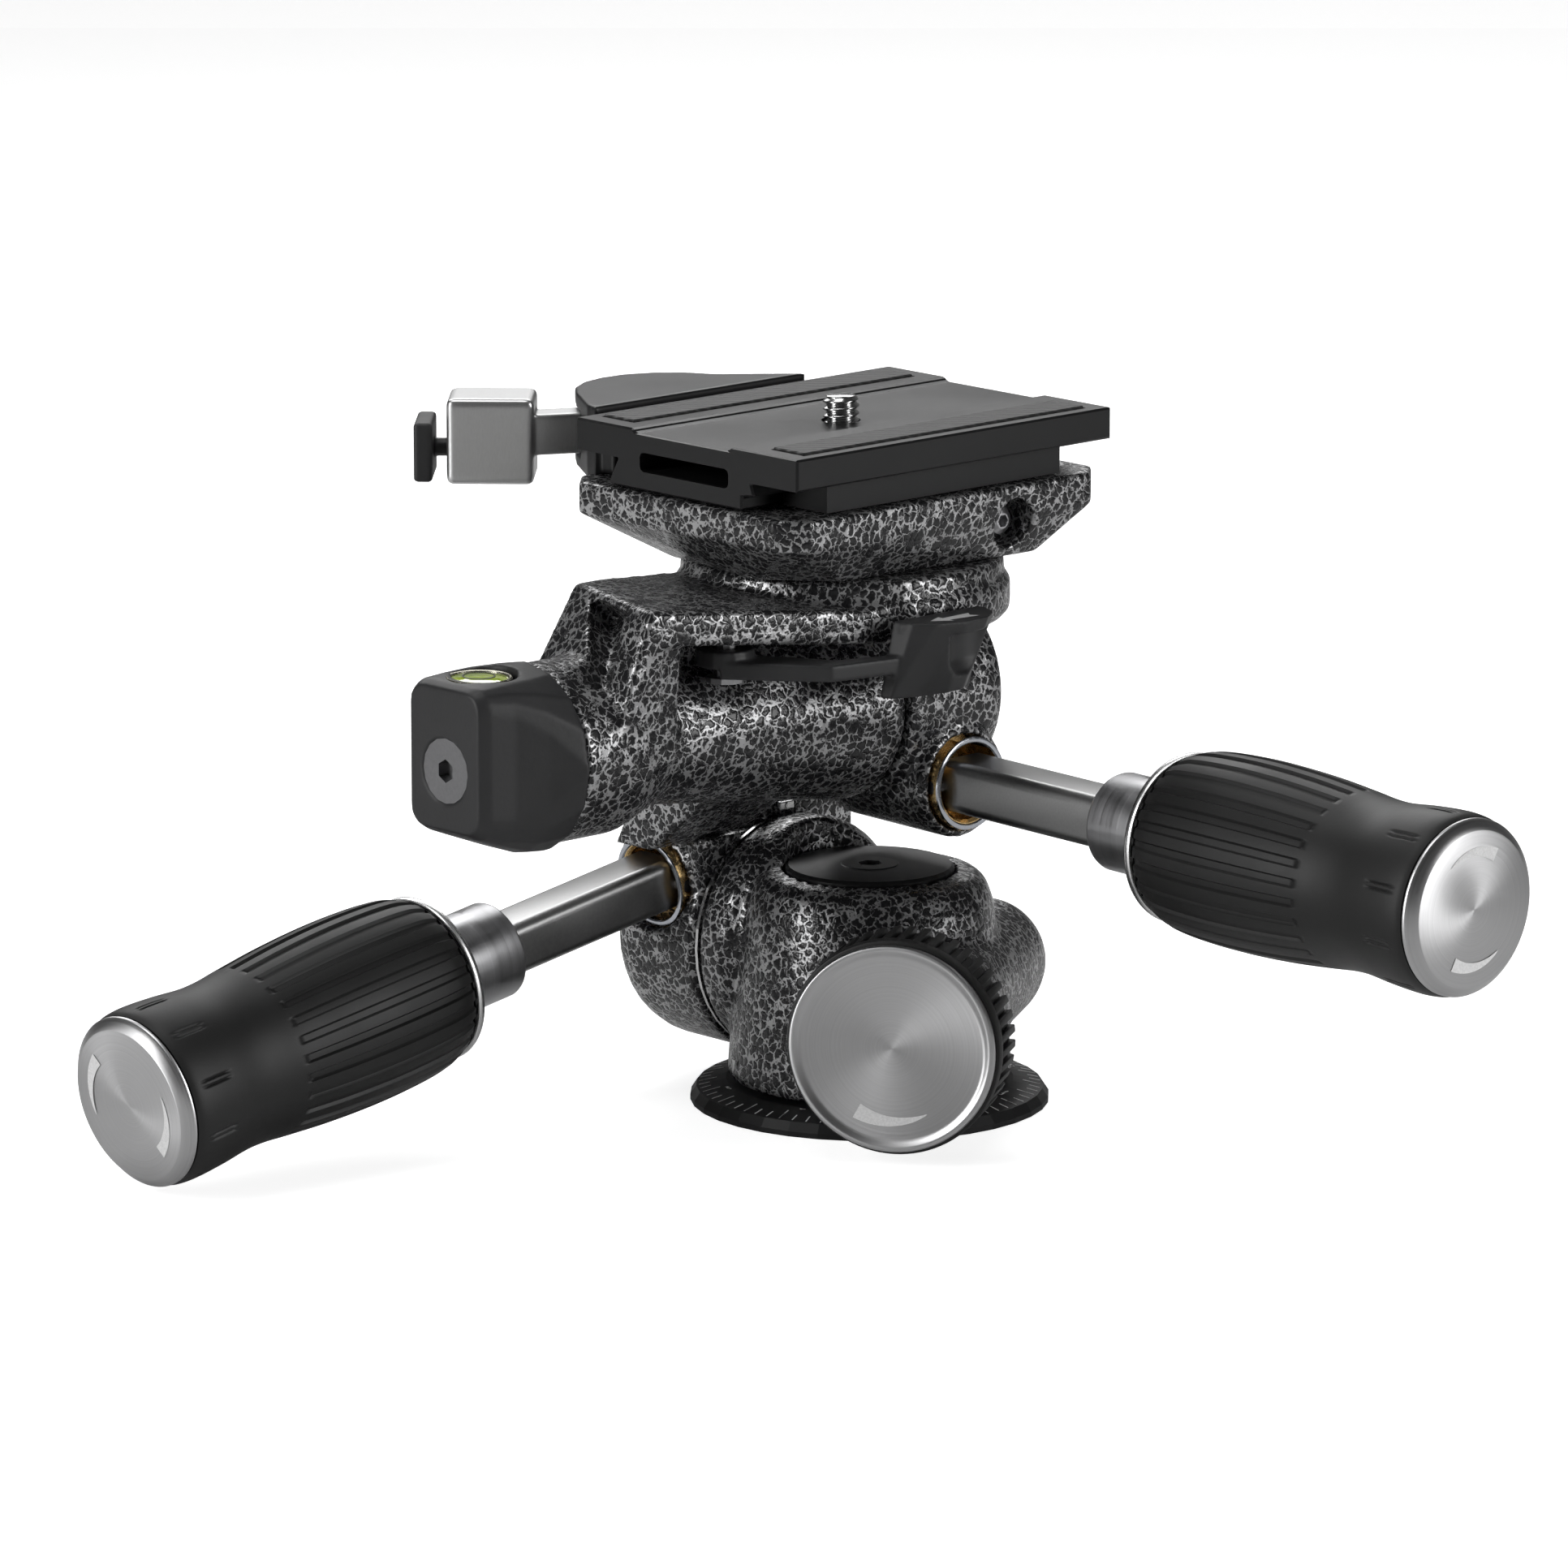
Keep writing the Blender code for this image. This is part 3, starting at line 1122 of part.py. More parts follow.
# Quick release plate: a dovetail plate with rubber strips and the camera screw
plate_middle = 0.35 * MM
plate_front = -20.5 * MM
# Points across the plate and up it, of its width and its height
plate_shares = (
    (0.0, 1.0), (0.0, 0.475), (0.208, 0.475), (0.19, 0.262), (0.248, 0.223), (0.248, 0.0),
    (0.843, 0.0), (0.85, 0.058), (0.807, 0.475), (1.0, 0.475), (1.0, 1.0), (0.74, 1.0),
    (0.725, 0.93), (0.31, 0.93), (0.295, 1.0),
)
slot_front = -3.7 * MM
slot_back = 18.2 * MM
slot_depth = 7.1 * MM
slot_height = 3.3 * MM
slot_bottom = plate_top - slot_depth
slot_top = slot_bottom + slot_height
slot_corner = 0.9 * MM
plate_edge = 0.6 * MM
strip_width = 7.6 * MM
strip_inset = 2.6 * MM
strip_end = 4.0 * MM
strip_sunk = 0.5 * MM
strip_proud = 0.4 * MM
screw_place = Vector((-2.3 * MM, 4.9 * MM, 0))
camera_screw_radius = 3.1 * MM
camera_screw_proud = 4.3 * MM
camera_head_radius = 7.0 * MM
camera_head_height = 2.4 * MM

frame("plate", "platform", Matrix())
frame("camera_screw", "plate", Matrix.Translation(screw_place))

# Turns (Y, Z) outline points for a form that runs along X
ACROSS = Matrix(((0, 0, 1, 0), (1, 0, 0, 0), (0, 1, 0, 0), (0, 0, 0, 1)))


def make_plate():
    left = plate_middle - plate_length / 2
    right = plate_middle + plate_length / 2
    bottom = plate_top - plate_height
    points = [(plate_front + a * plate_width, bottom + b * plate_height)
              for a, b in plate_shares]
    plate = outline("qr_plate", points, left, right, "plate", ACROSS, "black_anodised",
                    plate_edge, 1)
    slot = outline("plate_slot", rounded(slot_back - slot_front, slot_top - slot_bottom,
                                         slot_corner, ((slot_front + slot_back) / 2,
                                                       (slot_bottom + slot_top) / 2), 3),
                   left - overrun, right + overrun, "plate", ACROSS)
    way = rod("camera_screw_way", camera_screw_radius + gap, slot_bottom + gap,
              plate_top + overrun, "camera_screw", steps=small_steps)
    cut(plate, slot, way, solver="MANIFOLD")
    back = plate_front + plate_width
    strips = ((plate_front + strip_inset, "front"), (back - strip_inset - strip_width, "back"))
    for start, name in strips:
        low = (left + strip_end, start, plate_top - strip_sunk)
        high = (right - strip_end, start + strip_width, plate_top + strip_proud)
        span(f"rubber_strip_{name}", low, high, "plate", Matrix(), "rubber", strip_proud / 2, 1)
        grip = Vector((gap, gap, gap))
        groove = span(f"strip_groove_{name}", Vector(low) - grip, Vector(high) + grip, "plate",
                      Matrix())
        cut(plate, groove, solver="MANIFOLD")
    centre_top = plate_top - plate_height * (1 - plate_shares[-2][1])
    head = slot_top - gap
    screw = turned("camera_screw", [
        (0, centre_top + camera_screw_proud),
        (camera_screw_radius - cap_edge, centre_top + camera_screw_proud),
        (camera_screw_radius, centre_top + camera_screw_proud - cap_edge),
        (camera_screw_radius, head), (camera_head_radius, head),
        (camera_head_radius, head - camera_head_height), (0, head - camera_head_height),
    ], "camera_screw", finish="brushed_steel", steps=small_steps)
    cut(screw, span("coin_slot", (-camera_head_radius * 2, -cap_edge,
                                  head - camera_head_height - overrun),
                    (camera_head_radius * 2, cap_edge, head - camera_head_height + cap_edge * 2),
                    "camera_screw"))


# Clamp: a fixed jaw, a sliding jaw, a round-backed housing, and the lever with its catch
jaw_left = -27.0 * MM
jaw_right = 27.0 * MM
jaw_height = 4.5 * MM
jaw_clear = 0.45 * MM
jaw_step_share = 0.22
fixed_jaw_front = -18.0 * MM
moving_jaw_left = -26.0 * MM
moving_jaw_right = 13.0 * MM
moving_jaw_back = 28.6 * MM
jaw_travel = 2.4 * MM
clamp_apron = 1.1 * MM
clamp_proud = 1.0 * MM
clamp_bottom = platform_top - clamp_apron
clamp_top = plate_top + clamp_proud
clamp_front = 35.0 * MM
clamp_left = -30.0 * MM
clamp_right = 18.0 * MM
clamp_centre = Vector((-9.5 * MM, 39.8 * MM, 0))
clamp_radius = 16.4 * MM
clamp_foot_right = 14.0 * MM
clamp_lever_depth = 9.0 * MM
clamp_lever_thickness = 7.0 * MM
clamp_lever_bottom = plate_top - clamp_lever_depth
clamp_lever_top = clamp_lever_bottom + clamp_lever_thickness
lever_hub_size = 4.2 * MM
clamp_pin_radius = 1.8 * MM
lever_block_near = Vector((-33.4 * MM, 48.0 * MM))
lever_block_far = Vector((-44.0 * MM, 58.5 * MM))
lever_block_depth = 12.5 * MM
lever_block_proud = 0.8 * MM
lever_block_height = 14.8 * MM
lever_block_top = plate_top + lever_block_proud
lever_block_bottom = lever_block_top - lever_block_height
lever_neck_width = 6.0 * MM
lever_swing = radians(65)
clamp_arc_start = radians(20)
clamp_arc = radians(130)
catch_gap = 2.4 * MM
catch_travel = 1.8 * MM
catch_thickness = 3.2 * MM
catch_inset = 0.4 * MM
catch_size = 10.2 * MM
catch_bottom = lever_block_bottom + catch_inset
catch_top = catch_bottom + catch_size
catch_stem_radius = 1.6 * MM
catch_stem_length = 6.0 * MM

lever_along = (lever_block_far - lever_block_near).normalized()
lever_across = Vector((lever_along.y, -lever_along.x))
catch_middle = lever_block_far + lever_across * lever_block_depth / 2
catch_height = (catch_bottom + catch_top) / 2
catch_axis = aimed((catch_middle.x, catch_middle.y, catch_height),
                   (lever_along.x, lever_along.y, 0))

frame("clamp_lever", "platform", Matrix.Translation(clamp_centre))
frame("safety_catch", "clamp_lever", catch_axis)
frame("moving_jaw", "platform", Matrix())


def make_clamp():
    bottom = plate_top - plate_height
    dovetail = [(plate_front + a * plate_width, bottom + b * plate_height)
                for a, b in plate_shares]
    neck_front, tip_front, step_front = dovetail[2], dovetail[3], dovetail[4]
    top = neck_front[1] - jaw_clear
    outline("fixed_jaw", [
        (fixed_jaw_front, platform_top + gap), (step_front[0] - jaw_clear, platform_top + gap),
        (step_front[0] - jaw_clear, step_front[1] - jaw_clear),
        (tip_front[0] - jaw_clear, tip_front[1] - jaw_clear),
        (neck_front[0] - jaw_clear, top), (fixed_jaw_front, top),
    ], jaw_left, jaw_right, "platform", ACROSS, "black_anodised")
    foot_back, tip_back, neck_back = dovetail[6], dovetail[7], dovetail[8]
    outline("moving_jaw", [
        (foot_back[0] + jaw_clear, platform_top + gap),
        (tip_back[0] + jaw_clear, tip_back[1]), (neck_back[0] + jaw_clear, top),
        (moving_jaw_back, top), (moving_jaw_back, platform_top + gap),
    ][::-1], moving_jaw_left, moving_jaw_right, "moving_jaw", ACROSS, "black_anodised")

    arc = circle(clamp_radius, small_steps // 2, clamp_centre.xy, clamp_arc_start, clamp_arc)
    plan = [(clamp_right, clamp_front), *arc, (clamp_left, clamp_front + hub_edge * 4),
            (clamp_left - boss_edge, clamp_front)]
    body = outline("clamp_body", plan, clamp_bottom, clamp_top, "platform", Matrix(),
                   "black_plastic")
    foot = span("clamp_foot", (clamp_left, moving_jaw_back + jaw_travel + gap,
                               platform_top + gap),
                (clamp_foot_right, clamp_front + overrun, top), "platform", Matrix())
    join(body, foot)
    room = clamp_lever_bottom - gap
    ceiling = clamp_lever_top + gap
    hub_room = rod("lever_room", lever_hub_size + gap, room, ceiling, "platform",
                   Matrix.Translation(clamp_centre), steps=small_steps)
    neck_start = lever_block_near + lever_across * lever_neck_width / 2 - clamp_centre.xy
    heading = atan2(neck_start.y, neck_start.x)
    half = lever_neck_width / 2 + gap
    reach = clamp_radius * 2
    fan = circle(reach, small_steps // 2, start=heading, turn=-lever_swing)
    start_side = Vector((-sin(heading), cos(heading))) * half
    end_side = Vector((-sin(heading - lever_swing), cos(heading - lever_swing))) * -half
    fan = [start_side, Vector(fan[0]) + start_side, *fan, Vector(fan[-1]) + end_side, end_side]
    fan = [(clamp_centre.x + x, clamp_centre.y + y) for x, y in fan]
    sweep = outline("lever_sweep", fan[::-1], room, ceiling, "platform", Matrix())
    pin_room = rod("clamp_pin_room", clamp_pin_radius + gap, clamp_bottom - overrun,
                   clamp_top - boss_edge, "platform", Matrix.Translation(clamp_centre),
                   steps=bolt_steps)
    cut(body, hub_room, sweep, pin_room)
    rod("clamp_pivot_pin", clamp_pin_radius, clamp_bottom, clamp_top - boss_edge - gap,
        "platform", Matrix.Translation(clamp_centre), "brushed_steel", bolt_steps)
    make_clamp_lever()


def make_clamp_lever():
    along, across = lever_along, lever_across
    near, far = lever_block_near, lever_block_far
    plan = [near, far, far + across * lever_block_depth, near + across * lever_block_depth]
    lever = outline("clamp_lever", plan, lever_block_bottom, lever_block_top, "clamp_lever",
                    Matrix(), "spun_aluminium", boss_edge)
    centre = clamp_centre.xy
    middle = near + across * lever_neck_width / 2
    heading = (middle - centre).normalized()
    side = Vector((-heading.y, heading.x)) * lever_neck_width / 2
    neck = outline("lever_neck", [centre - side, centre + side, middle + side + along * overrun * 3,
                                  middle - side + along * overrun * 3], clamp_lever_bottom,
                   clamp_lever_top, "clamp_lever", Matrix())
    hub = rod("clamp_lever_hub", lever_hub_size, clamp_lever_bottom, clamp_lever_top,
              "clamp_lever", steps=small_steps)
    join(lever, neck, hub)
    hole = rod("clamp_lever_hole", clamp_pin_radius + gap, lever_block_bottom, lever_block_top,
               "clamp_lever", Matrix.Translation(clamp_centre), steps=bolt_steps)
    stem_room = rod("catch_stem_room", catch_stem_radius + gap,
                    -catch_stem_length - catch_travel, overrun, "clamp_lever", catch_axis,
                    steps=bolt_steps)
    cut(lever, hole, stem_room, solver="MANIFOLD")
    half = lever_block_depth / 2
    tall = (catch_top - catch_bottom) / 2
    catch = span("safety_catch", (-half, -tall, catch_gap),
                 (half, tall, catch_gap + catch_thickness), "safety_catch", catch_axis,
                 "black_plastic", cap_edge)
    stem = rod("catch_stem", catch_stem_radius, -catch_stem_length + catch_travel,
               catch_gap + cap_edge, "safety_catch", steps=bolt_steps)
    join(catch, stem)


def stand_on_origin():
    """Moves the whole head so that the origin lies under the middle of its outline."""
    bpy.context.view_layer.update()
    graph = bpy.context.evaluated_depsgraph_get()
    corners = []
    for piece in head.objects:
        if piece.type == "MESH":
            built = piece.evaluated_get(graph)
            corners += [piece.matrix_world @ v.co for v in built.data.vertices]
    middle = [(min(c[i] for c in corners) + max(c[i] for c in corners)) / 2 for i in range(2)]
    bpy.data.objects["base_axis"].location = (-middle[0], -middle[1], 0)


make_base()
make_pan_housing()
make_pan_knob()
make_middle_body()
make_handle("left", "roll", left_handle, left_foot)
make_upper_body()
make_handle("right", "nod", right_handle, right_foot)
make_level()
make_lever()
make_platform()
make_plate()
make_clamp()
stand_on_origin()
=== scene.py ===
"""The looks of a three way pan tilt head for a camera: hammered enamel castings, black anodised
plates, rubber grips on flat steel shafts, and spun aluminium ends."""

import json
from math import cos, pi, radians, sin

import bmesh
import bpy
from mathutils import Matrix, Vector

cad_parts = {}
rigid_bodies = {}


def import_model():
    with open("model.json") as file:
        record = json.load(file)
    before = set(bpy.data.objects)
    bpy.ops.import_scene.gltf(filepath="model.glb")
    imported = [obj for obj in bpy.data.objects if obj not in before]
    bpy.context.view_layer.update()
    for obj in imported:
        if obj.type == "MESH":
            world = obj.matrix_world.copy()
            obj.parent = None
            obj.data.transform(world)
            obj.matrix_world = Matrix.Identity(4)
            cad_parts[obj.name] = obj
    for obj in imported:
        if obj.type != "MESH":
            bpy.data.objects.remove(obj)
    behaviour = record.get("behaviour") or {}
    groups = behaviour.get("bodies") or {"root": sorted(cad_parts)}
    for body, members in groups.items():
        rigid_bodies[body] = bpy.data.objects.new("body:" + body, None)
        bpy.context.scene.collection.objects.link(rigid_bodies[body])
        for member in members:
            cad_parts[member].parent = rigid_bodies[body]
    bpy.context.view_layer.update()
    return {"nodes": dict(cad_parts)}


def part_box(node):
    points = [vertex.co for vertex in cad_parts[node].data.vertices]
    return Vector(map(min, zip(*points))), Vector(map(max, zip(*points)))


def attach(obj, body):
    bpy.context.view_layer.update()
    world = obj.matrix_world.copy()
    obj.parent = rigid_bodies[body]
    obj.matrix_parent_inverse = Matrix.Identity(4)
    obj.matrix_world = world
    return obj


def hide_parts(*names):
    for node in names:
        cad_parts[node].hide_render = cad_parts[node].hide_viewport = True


for old in list(bpy.data.objects):
    bpy.data.objects.remove(old)

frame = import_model()

# Studio: a pale sweep of paper, soft boxes at the top, left, right and back, and the camera.
# The camera stands at the photograph's viewing angle, a little above the pan knob.
MM = 0.001
ring_low, ring_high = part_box("base_ring")
PAN_AXIS = Vector(((ring_low.x + ring_high.x) / 2, (ring_low.y + ring_high.y) / 2, 0))


def spot(x, y, z):
    """A point in millimetres from the pan axis at the floor, as a place in the scene."""
    return PAN_AXIS + Vector((x, y, z)) * MM


def looking(place, target):
    return (target - place).to_track_quat("-Z", "Y").to_euler()


def link(made):
    bpy.context.scene.collection.objects.link(made)
    return made


def surface(name, colour, roughness, metallic=0.0):
    """A new material, its node tree and its shader."""
    made = bpy.data.materials.new(name)
    made.use_nodes = True
    shader = made.node_tree.nodes["Principled BSDF"]
    shader.inputs["Base Color"].default_value = (*colour, 1)
    shader.inputs["Roughness"].default_value = roughness
    shader.inputs["Metallic"].default_value = metallic
    return made, made.node_tree, shader


def wire(tree, kind, inputs=None, **settings):
    """Adds a node. An input is a number, a colour or another node's output socket."""
    made = tree.nodes.new(kind)
    for key, value in settings.items():
        setattr(made, key, value)
    for key, value in (inputs or {}).items():
        if isinstance(value, bpy.types.NodeSocket):
            tree.links.new(value, made.inputs[key])
        else:
            made.inputs[key].default_value = value
    return made


def ramp(tree, factor, stops, interpolation="LINEAR"):
    """A colour ramp. Each stop is a place and a grey or a colour."""
    made = wire(tree, "ShaderNodeValToRGB", {"Fac": factor})
    made.color_ramp.interpolation = interpolation
    while len(made.color_ramp.elements) < len(stops):
        made.color_ramp.elements.new(0.5)
    for element, (place, colour) in zip(made.color_ramp.elements, stops):
        element.position = place
        if isinstance(colour, (int, float)):
            colour = (colour, colour, colour)
        element.color = (*colour, 1)
    return made


paper, tree, shader = surface("studio_paper", (0.8, 0.8, 0.8), 0.9)
fibre = wire(tree, "ShaderNodeTexNoise", {"Scale": 60.0, "Detail": 4.0})
shade = ramp(tree, fibre.outputs["Fac"], ((0.3, 0.79), (0.7, 0.81)))
tree.links.new(shade.outputs["Color"], shader.inputs["Base Color"])
shader.inputs["Emission Color"].default_value = (1, 1, 1, 1)
seen = wire(tree, "ShaderNodeLightPath")
glow = wire(tree, "ShaderNodeMath", {0: seen.outputs["Is Camera Ray"], 1: 0.8}, operation="MULTIPLY")
tree.links.new(glow.outputs["Value"], shader.inputs["Emission Strength"])
sweep = bpy.data.meshes.new("studio_sweep")
floor_end, bend = 1.2, 0.8
outline = [(-3.0, 0.0), (floor_end, 0.0)]
outline += [(floor_end + bend * sin(pi * i / 24), bend - bend * cos(pi * i / 24))
            for i in range(1, 13)]
outline.append((floor_end + bend, 4.0))
rows = [[(x, side, z) for x, z in outline] for side in (-4.0, 4.0)]
count = len(outline)
sweep.from_pydata(rows[0] + rows[1], [], [
    (i, i + 1, count + i + 1, count + i) for i in range(count - 1)])
sweep_turn = radians(47.05)
sweep.transform(Matrix.Rotation(sweep_turn, 4, "Z"))
sweep.materials.append(paper)
backdrop = link(bpy.data.objects.new("studio_sweep", sweep))

world = bpy.data.worlds.new("studio")
bpy.context.scene.world = world
world.use_nodes = True
world.node_tree.nodes["Background"].inputs["Color"].default_value = (1, 1, 1, 1)
world.node_tree.nodes["Background"].inputs["Strength"].default_value = 0.05
bpy.context.scene.view_settings.view_transform = "Standard"


def soft_box(name, place, target, width, height, power):
    light = bpy.data.lights.new(name, "AREA")
    light.shape = "RECTANGLE"
    light.size = width
    light.size_y = height
    light.energy = power
    lamp = link(bpy.data.objects.new(name, light))
    lamp.location = place
    lamp.rotation_euler = looking(place, target)


middle = spot(-10.711, 9.97, 54.771)
soft_box("top_box", spot(-150, 120, 900), middle, 0.4, 0.4, 2.2)
soft_box("left_box", spot(-950, 250, 330), middle, 0.3, 0.8, 6)
soft_box("right_box", spot(350, -950, 300), middle, 0.35, 0.8, 6)
soft_box("back_box", spot(450, 700, 650), middle, 0.8, 0.4, 4)

view = bpy.data.cameras.new("photo_camera")
view.lens = 229.8
view.sensor_width = 36
view.clip_start = 0.05
view.clip_end = 20
camera = link(bpy.data.objects.new("photo_camera", view))
camera.location = spot(-1142.6, -1206.1, 420.15)
camera.rotation_euler = looking(camera.location, middle)
bpy.context.scene.camera = camera

# Castings: the pan housing, the two tilt bodies with their caps, and the platform.
# They are gravity cast aluminium with soft edges, stove enamelled in grey hammer finish.
enamel_cell = 620.0
enamel_black = (0.012, 0.012, 0.013)
enamel_silver = (0.42, 0.42, 0.425)


def hammer_enamel(name, shift):
    """Dark glossy islands in a silver network, the islands standing a little proud."""
    made, tree, shader = surface(name, (0.3, 0.3, 0.3), 0.3, 0.6)
    shader.inputs["Specular IOR Level"].default_value = 0.4
    where = wire(tree, "ShaderNodeTexCoord").outputs["Object"]
    moved = wire(tree, "ShaderNodeMapping", {"Vector": where, "Location": shift})
    moved = moved.outputs["Vector"]
    warp = wire(tree, "ShaderNodeTexNoise", {
        "Vector": moved, "Scale": enamel_cell * 1.3, "Detail": 2.0, "Roughness": 0.6})
    bent = wire(tree, "ShaderNodeVectorMath", {
        0: warp.outputs["Color"], 1: (0.0017, 0.0017, 0.0017), 2: moved},
        operation="MULTIPLY_ADD")
    cells = wire(tree, "ShaderNodeTexVoronoi", {
        "Vector": bent.outputs["Vector"], "Scale": enamel_cell}, feature="DISTANCE_TO_EDGE")
    drift = wire(tree, "ShaderNodeTexNoise", {
        "Vector": moved, "Scale": enamel_cell * 0.6, "Detail": 3.0, "Roughness": 0.65})
    wander = wire(tree, "ShaderNodeMath", {
        0: drift.outputs["Fac"], 1: -0.5, 2: cells.outputs["Distance"]},
        operation="MULTIPLY_ADD")
    mixed = wire(tree, "ShaderNodeMath", {0: wander.outputs["Value"], 1: 0.5}, operation="ADD")
    shape = ramp(tree, mixed.outputs["Value"], ((0.27, 1.0), (0.315, 0.4), (0.345, 0.0)))
    colour = wire(tree, "ShaderNodeMix", {
        "Factor": shape.outputs["Color"], "A": (*enamel_black, 1), "B": (*enamel_silver, 1)},
        data_type="RGBA")
    tree.links.new(colour.outputs["Result"], shader.inputs["Base Color"])
    gloss = ramp(tree, shape.outputs["Color"], ((0.0, 0.24), (1.0, 0.38)))
    tree.links.new(gloss.outputs["Color"], shader.inputs["Roughness"])
    metal = ramp(tree, shape.outputs["Color"], ((0.0, 0.0), (1.0, 0.8)))
    tree.links.new(metal.outputs["Color"], shader.inputs["Metallic"])
    height = ramp(tree, cells.outputs["Distance"], ((0.0, 0.0), (0.35, 1.0)), "EASE")
    bump = wire(tree, "ShaderNodeBump", {
        "Strength": 0.5, "Distance": 0.00015, "Height": height.outputs["Color"]})
    tree.links.new(bump.outputs["Normal"], shader.inputs["Normal"])
    return made


def ended(bm, name, sharp=None):
    """The mesh of a bmesh. With an angle in degrees it is smooth, and sharp past that angle."""
    made = bpy.data.meshes.new(name)
    bm.to_mesh(made)
    bm.free()
    if sharp is not None:
        made.shade_smooth()
        made.set_sharp_from_angle(angle=radians(sharp))
    return made


def cad_copy(node):
    """A merged copy of a CAD node's mesh."""
    bm = bmesh.new()
    bm.from_mesh(frame["nodes"][node].data)
    bmesh.ops.remove_doubles(bm, verts=bm.verts, dist=0.000002)
    made = ended(bm, node + "_form")
    made.materials.clear()
    return made


def finished(made):
    """Turns an object with modifiers into a plain smooth mesh."""
    graph = bpy.context.evaluated_depsgraph_get()
    mesh = bpy.data.meshes.new_from_object(made.evaluated_get(graph))
    made.modifiers.clear()
    made.data = mesh
    return made


def rebuilt(name, node, body, voxel, rounds, material, form=None):
    """Rebuilds a CAD solid, or a fuller form of it, in fine cells and relaxes its edges."""
    made = link(bpy.data.objects.new(name, form or cad_copy(node)))
    cells = made.modifiers.new("cells", "REMESH")
    cells.mode = "VOXEL"
    cells.voxel_size = voxel
    relax = made.modifiers.new("relax", "SMOOTH")
    relax.factor = 0.5
    relax.iterations = rounds
    finished(made)
    made.data.shade_smooth()
    made.data.materials.clear()
    made.data.materials.append(material)
    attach(made, body)
    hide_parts(node)
    return made


def casting(name, node, body, shift, voxel, rounds, form=None):
    made = rebuilt(name, node, body, voxel, rounds, hammer_enamel(name + "_enamel", shift), form)
    return made


def aimed(origin, direction):
    """A matrix whose Z looks along direction and whose X stays level."""
    z = direction.normalized()
    x = Vector((0, 0, 1)).cross(z).normalized()
    turn = Matrix((x, z.cross(x), z)).transposed().to_4x4()
    return Matrix.Translation(origin) @ turn


def turned(name, profile, place, steps=96):
    """Revolves (radius, height) points in millimetres, from the top centre down, about Z."""
    bm = bmesh.new()
    rows = []
    for radius, height in profile:
        if radius == 0:
            rows.append([bm.verts.new(place @ Vector((0, 0, height * MM)))])
            continue
        rows.append([bm.verts.new(place @ Vector((
            radius * MM * cos(2 * pi * i / steps), radius * MM * sin(2 * pi * i / steps),
            height * MM))) for i in range(steps)])
    for upper, lower in zip(rows, rows[1:]):
        for i in range(steps):
            j = (i + 1) % steps
            if len(upper) == 1:
                bm.faces.new((upper[0], lower[i], lower[j]))
            elif len(lower) == 1:
                bm.faces.new((upper[i], lower[0], upper[j]))
            else:
                bm.faces.new((upper[i], lower[i], lower[j], upper[j]))
    bmesh.ops.recalc_face_normals(bm, faces=bm.faces)
    return ended(bm, name, 38)


def merged(*meshes, name="merged_form"):
    """Several closed meshes as one. Fine cells, where they are used, melt them together."""
    bm = bmesh.new()
    for mesh in meshes:
        bm.from_mesh(mesh)
    return ended(bm, name)


def loft(name, *levels):
    """The solid between outlines at rising heights, all in millimetres from the pan axis."""
    bm = bmesh.new()
    for height, outline in levels:
        for x, y in outline:
            bm.verts.new(spot(x, y, height))
    bmesh.ops.convex_hull(bm, input=bm.verts)
    bmesh.ops.recalc_face_normals(bm, faces=bm.faces)
    return ended(bm, name)


def carved(form, *cutters):
    """Takes the cutters out of a form."""
    made = link(bpy.data.objects.new("carved_form", form))
    for cutter in cutters:
        tool = link(bpy.data.objects.new("cutter", cutter))
        change = made.modifiers.new("carve", "BOOLEAN")
        change.operation = "DIFFERENCE"
        change.solver = "EXACT"
        change.object = tool
    finished(made)
    mesh = made.data
    for used in [made] + [o for o in bpy.data.objects if o.name.startswith("cutter")]:
        bpy.data.objects.remove(used)
    return mesh


knob_turn = radians(212.7)
knob_out = Vector((cos(knob_turn), sin(knob_turn), 0))
knob_side = Vector((-knob_out.y, knob_out.x, 0))
knob_foot = spot(0, 0, 20.2) + knob_side * 15 * MM
knob_axis = aimed(knob_foot, knob_out)
boss_tail = turned("boss_tail", [
    (0, -5), (11, -5), (11, -20), (10.6, -23), (9.4, -25.8), (7.2, -27.8), (4, -28.8), (0, -29)],
    knob_axis)
casting("pan_housing_casting", "pan_housing", "pan_housing", (0, 0, 0), 0.00055, 9,
        merged(cad_copy("pan_housing"), boss_tail))
casting("side_tilt_casting", "middle_body", "middle_body", (0.3, 0, 0), 0.0005, 8)
casting("front_tilt_casting", "upper_body", "upper_body", (0, 0.3, 0), 0.00065, 7)
casting("right_cap_casting", "right_cap", "upper_body", (0, 0, 0.3), 0.0005, 8)
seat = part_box("platform")[0].z / MM
rim = [(-32.5, -20), (32.5, -20), (37, -15.5), (37, 32.5), (32.5, 37), (-32.5, 37), (-37, 32.5),
       (-37, -15.5)]
foot = [(-20, -14), (22, -17), (29, -11), (29, 22), (22, 28), (-20, 28), (-26, 21), (-29, -3)]
notch = turned("screw_notch", [(0, 20), (4.2, 20), (4.2, 0), (0, 0)],
               aimed(spot(15.2, -13.0, seat + 6.1), Vector((0, -1, 0))), 48)
casting("platform_casting", "platform", "platform", (0.3, 0.3, 0), 0.0005, 6, carved(loft(
    "platform_form", (seat, foot), (seat + 7.5, rim), (seat + 12.8, rim)), notch))
casting("rear_cap_casting", "rear_cap", "pan_housing", (0.3, 0, 0.3), 0.00045, 3)

# Base ring: a turned aluminium ring, black anodised, with a laser marked degree scale.
# It is clamped under the pan axle's flange and stays still on the tripod.
dial_slope = radians(13.2)


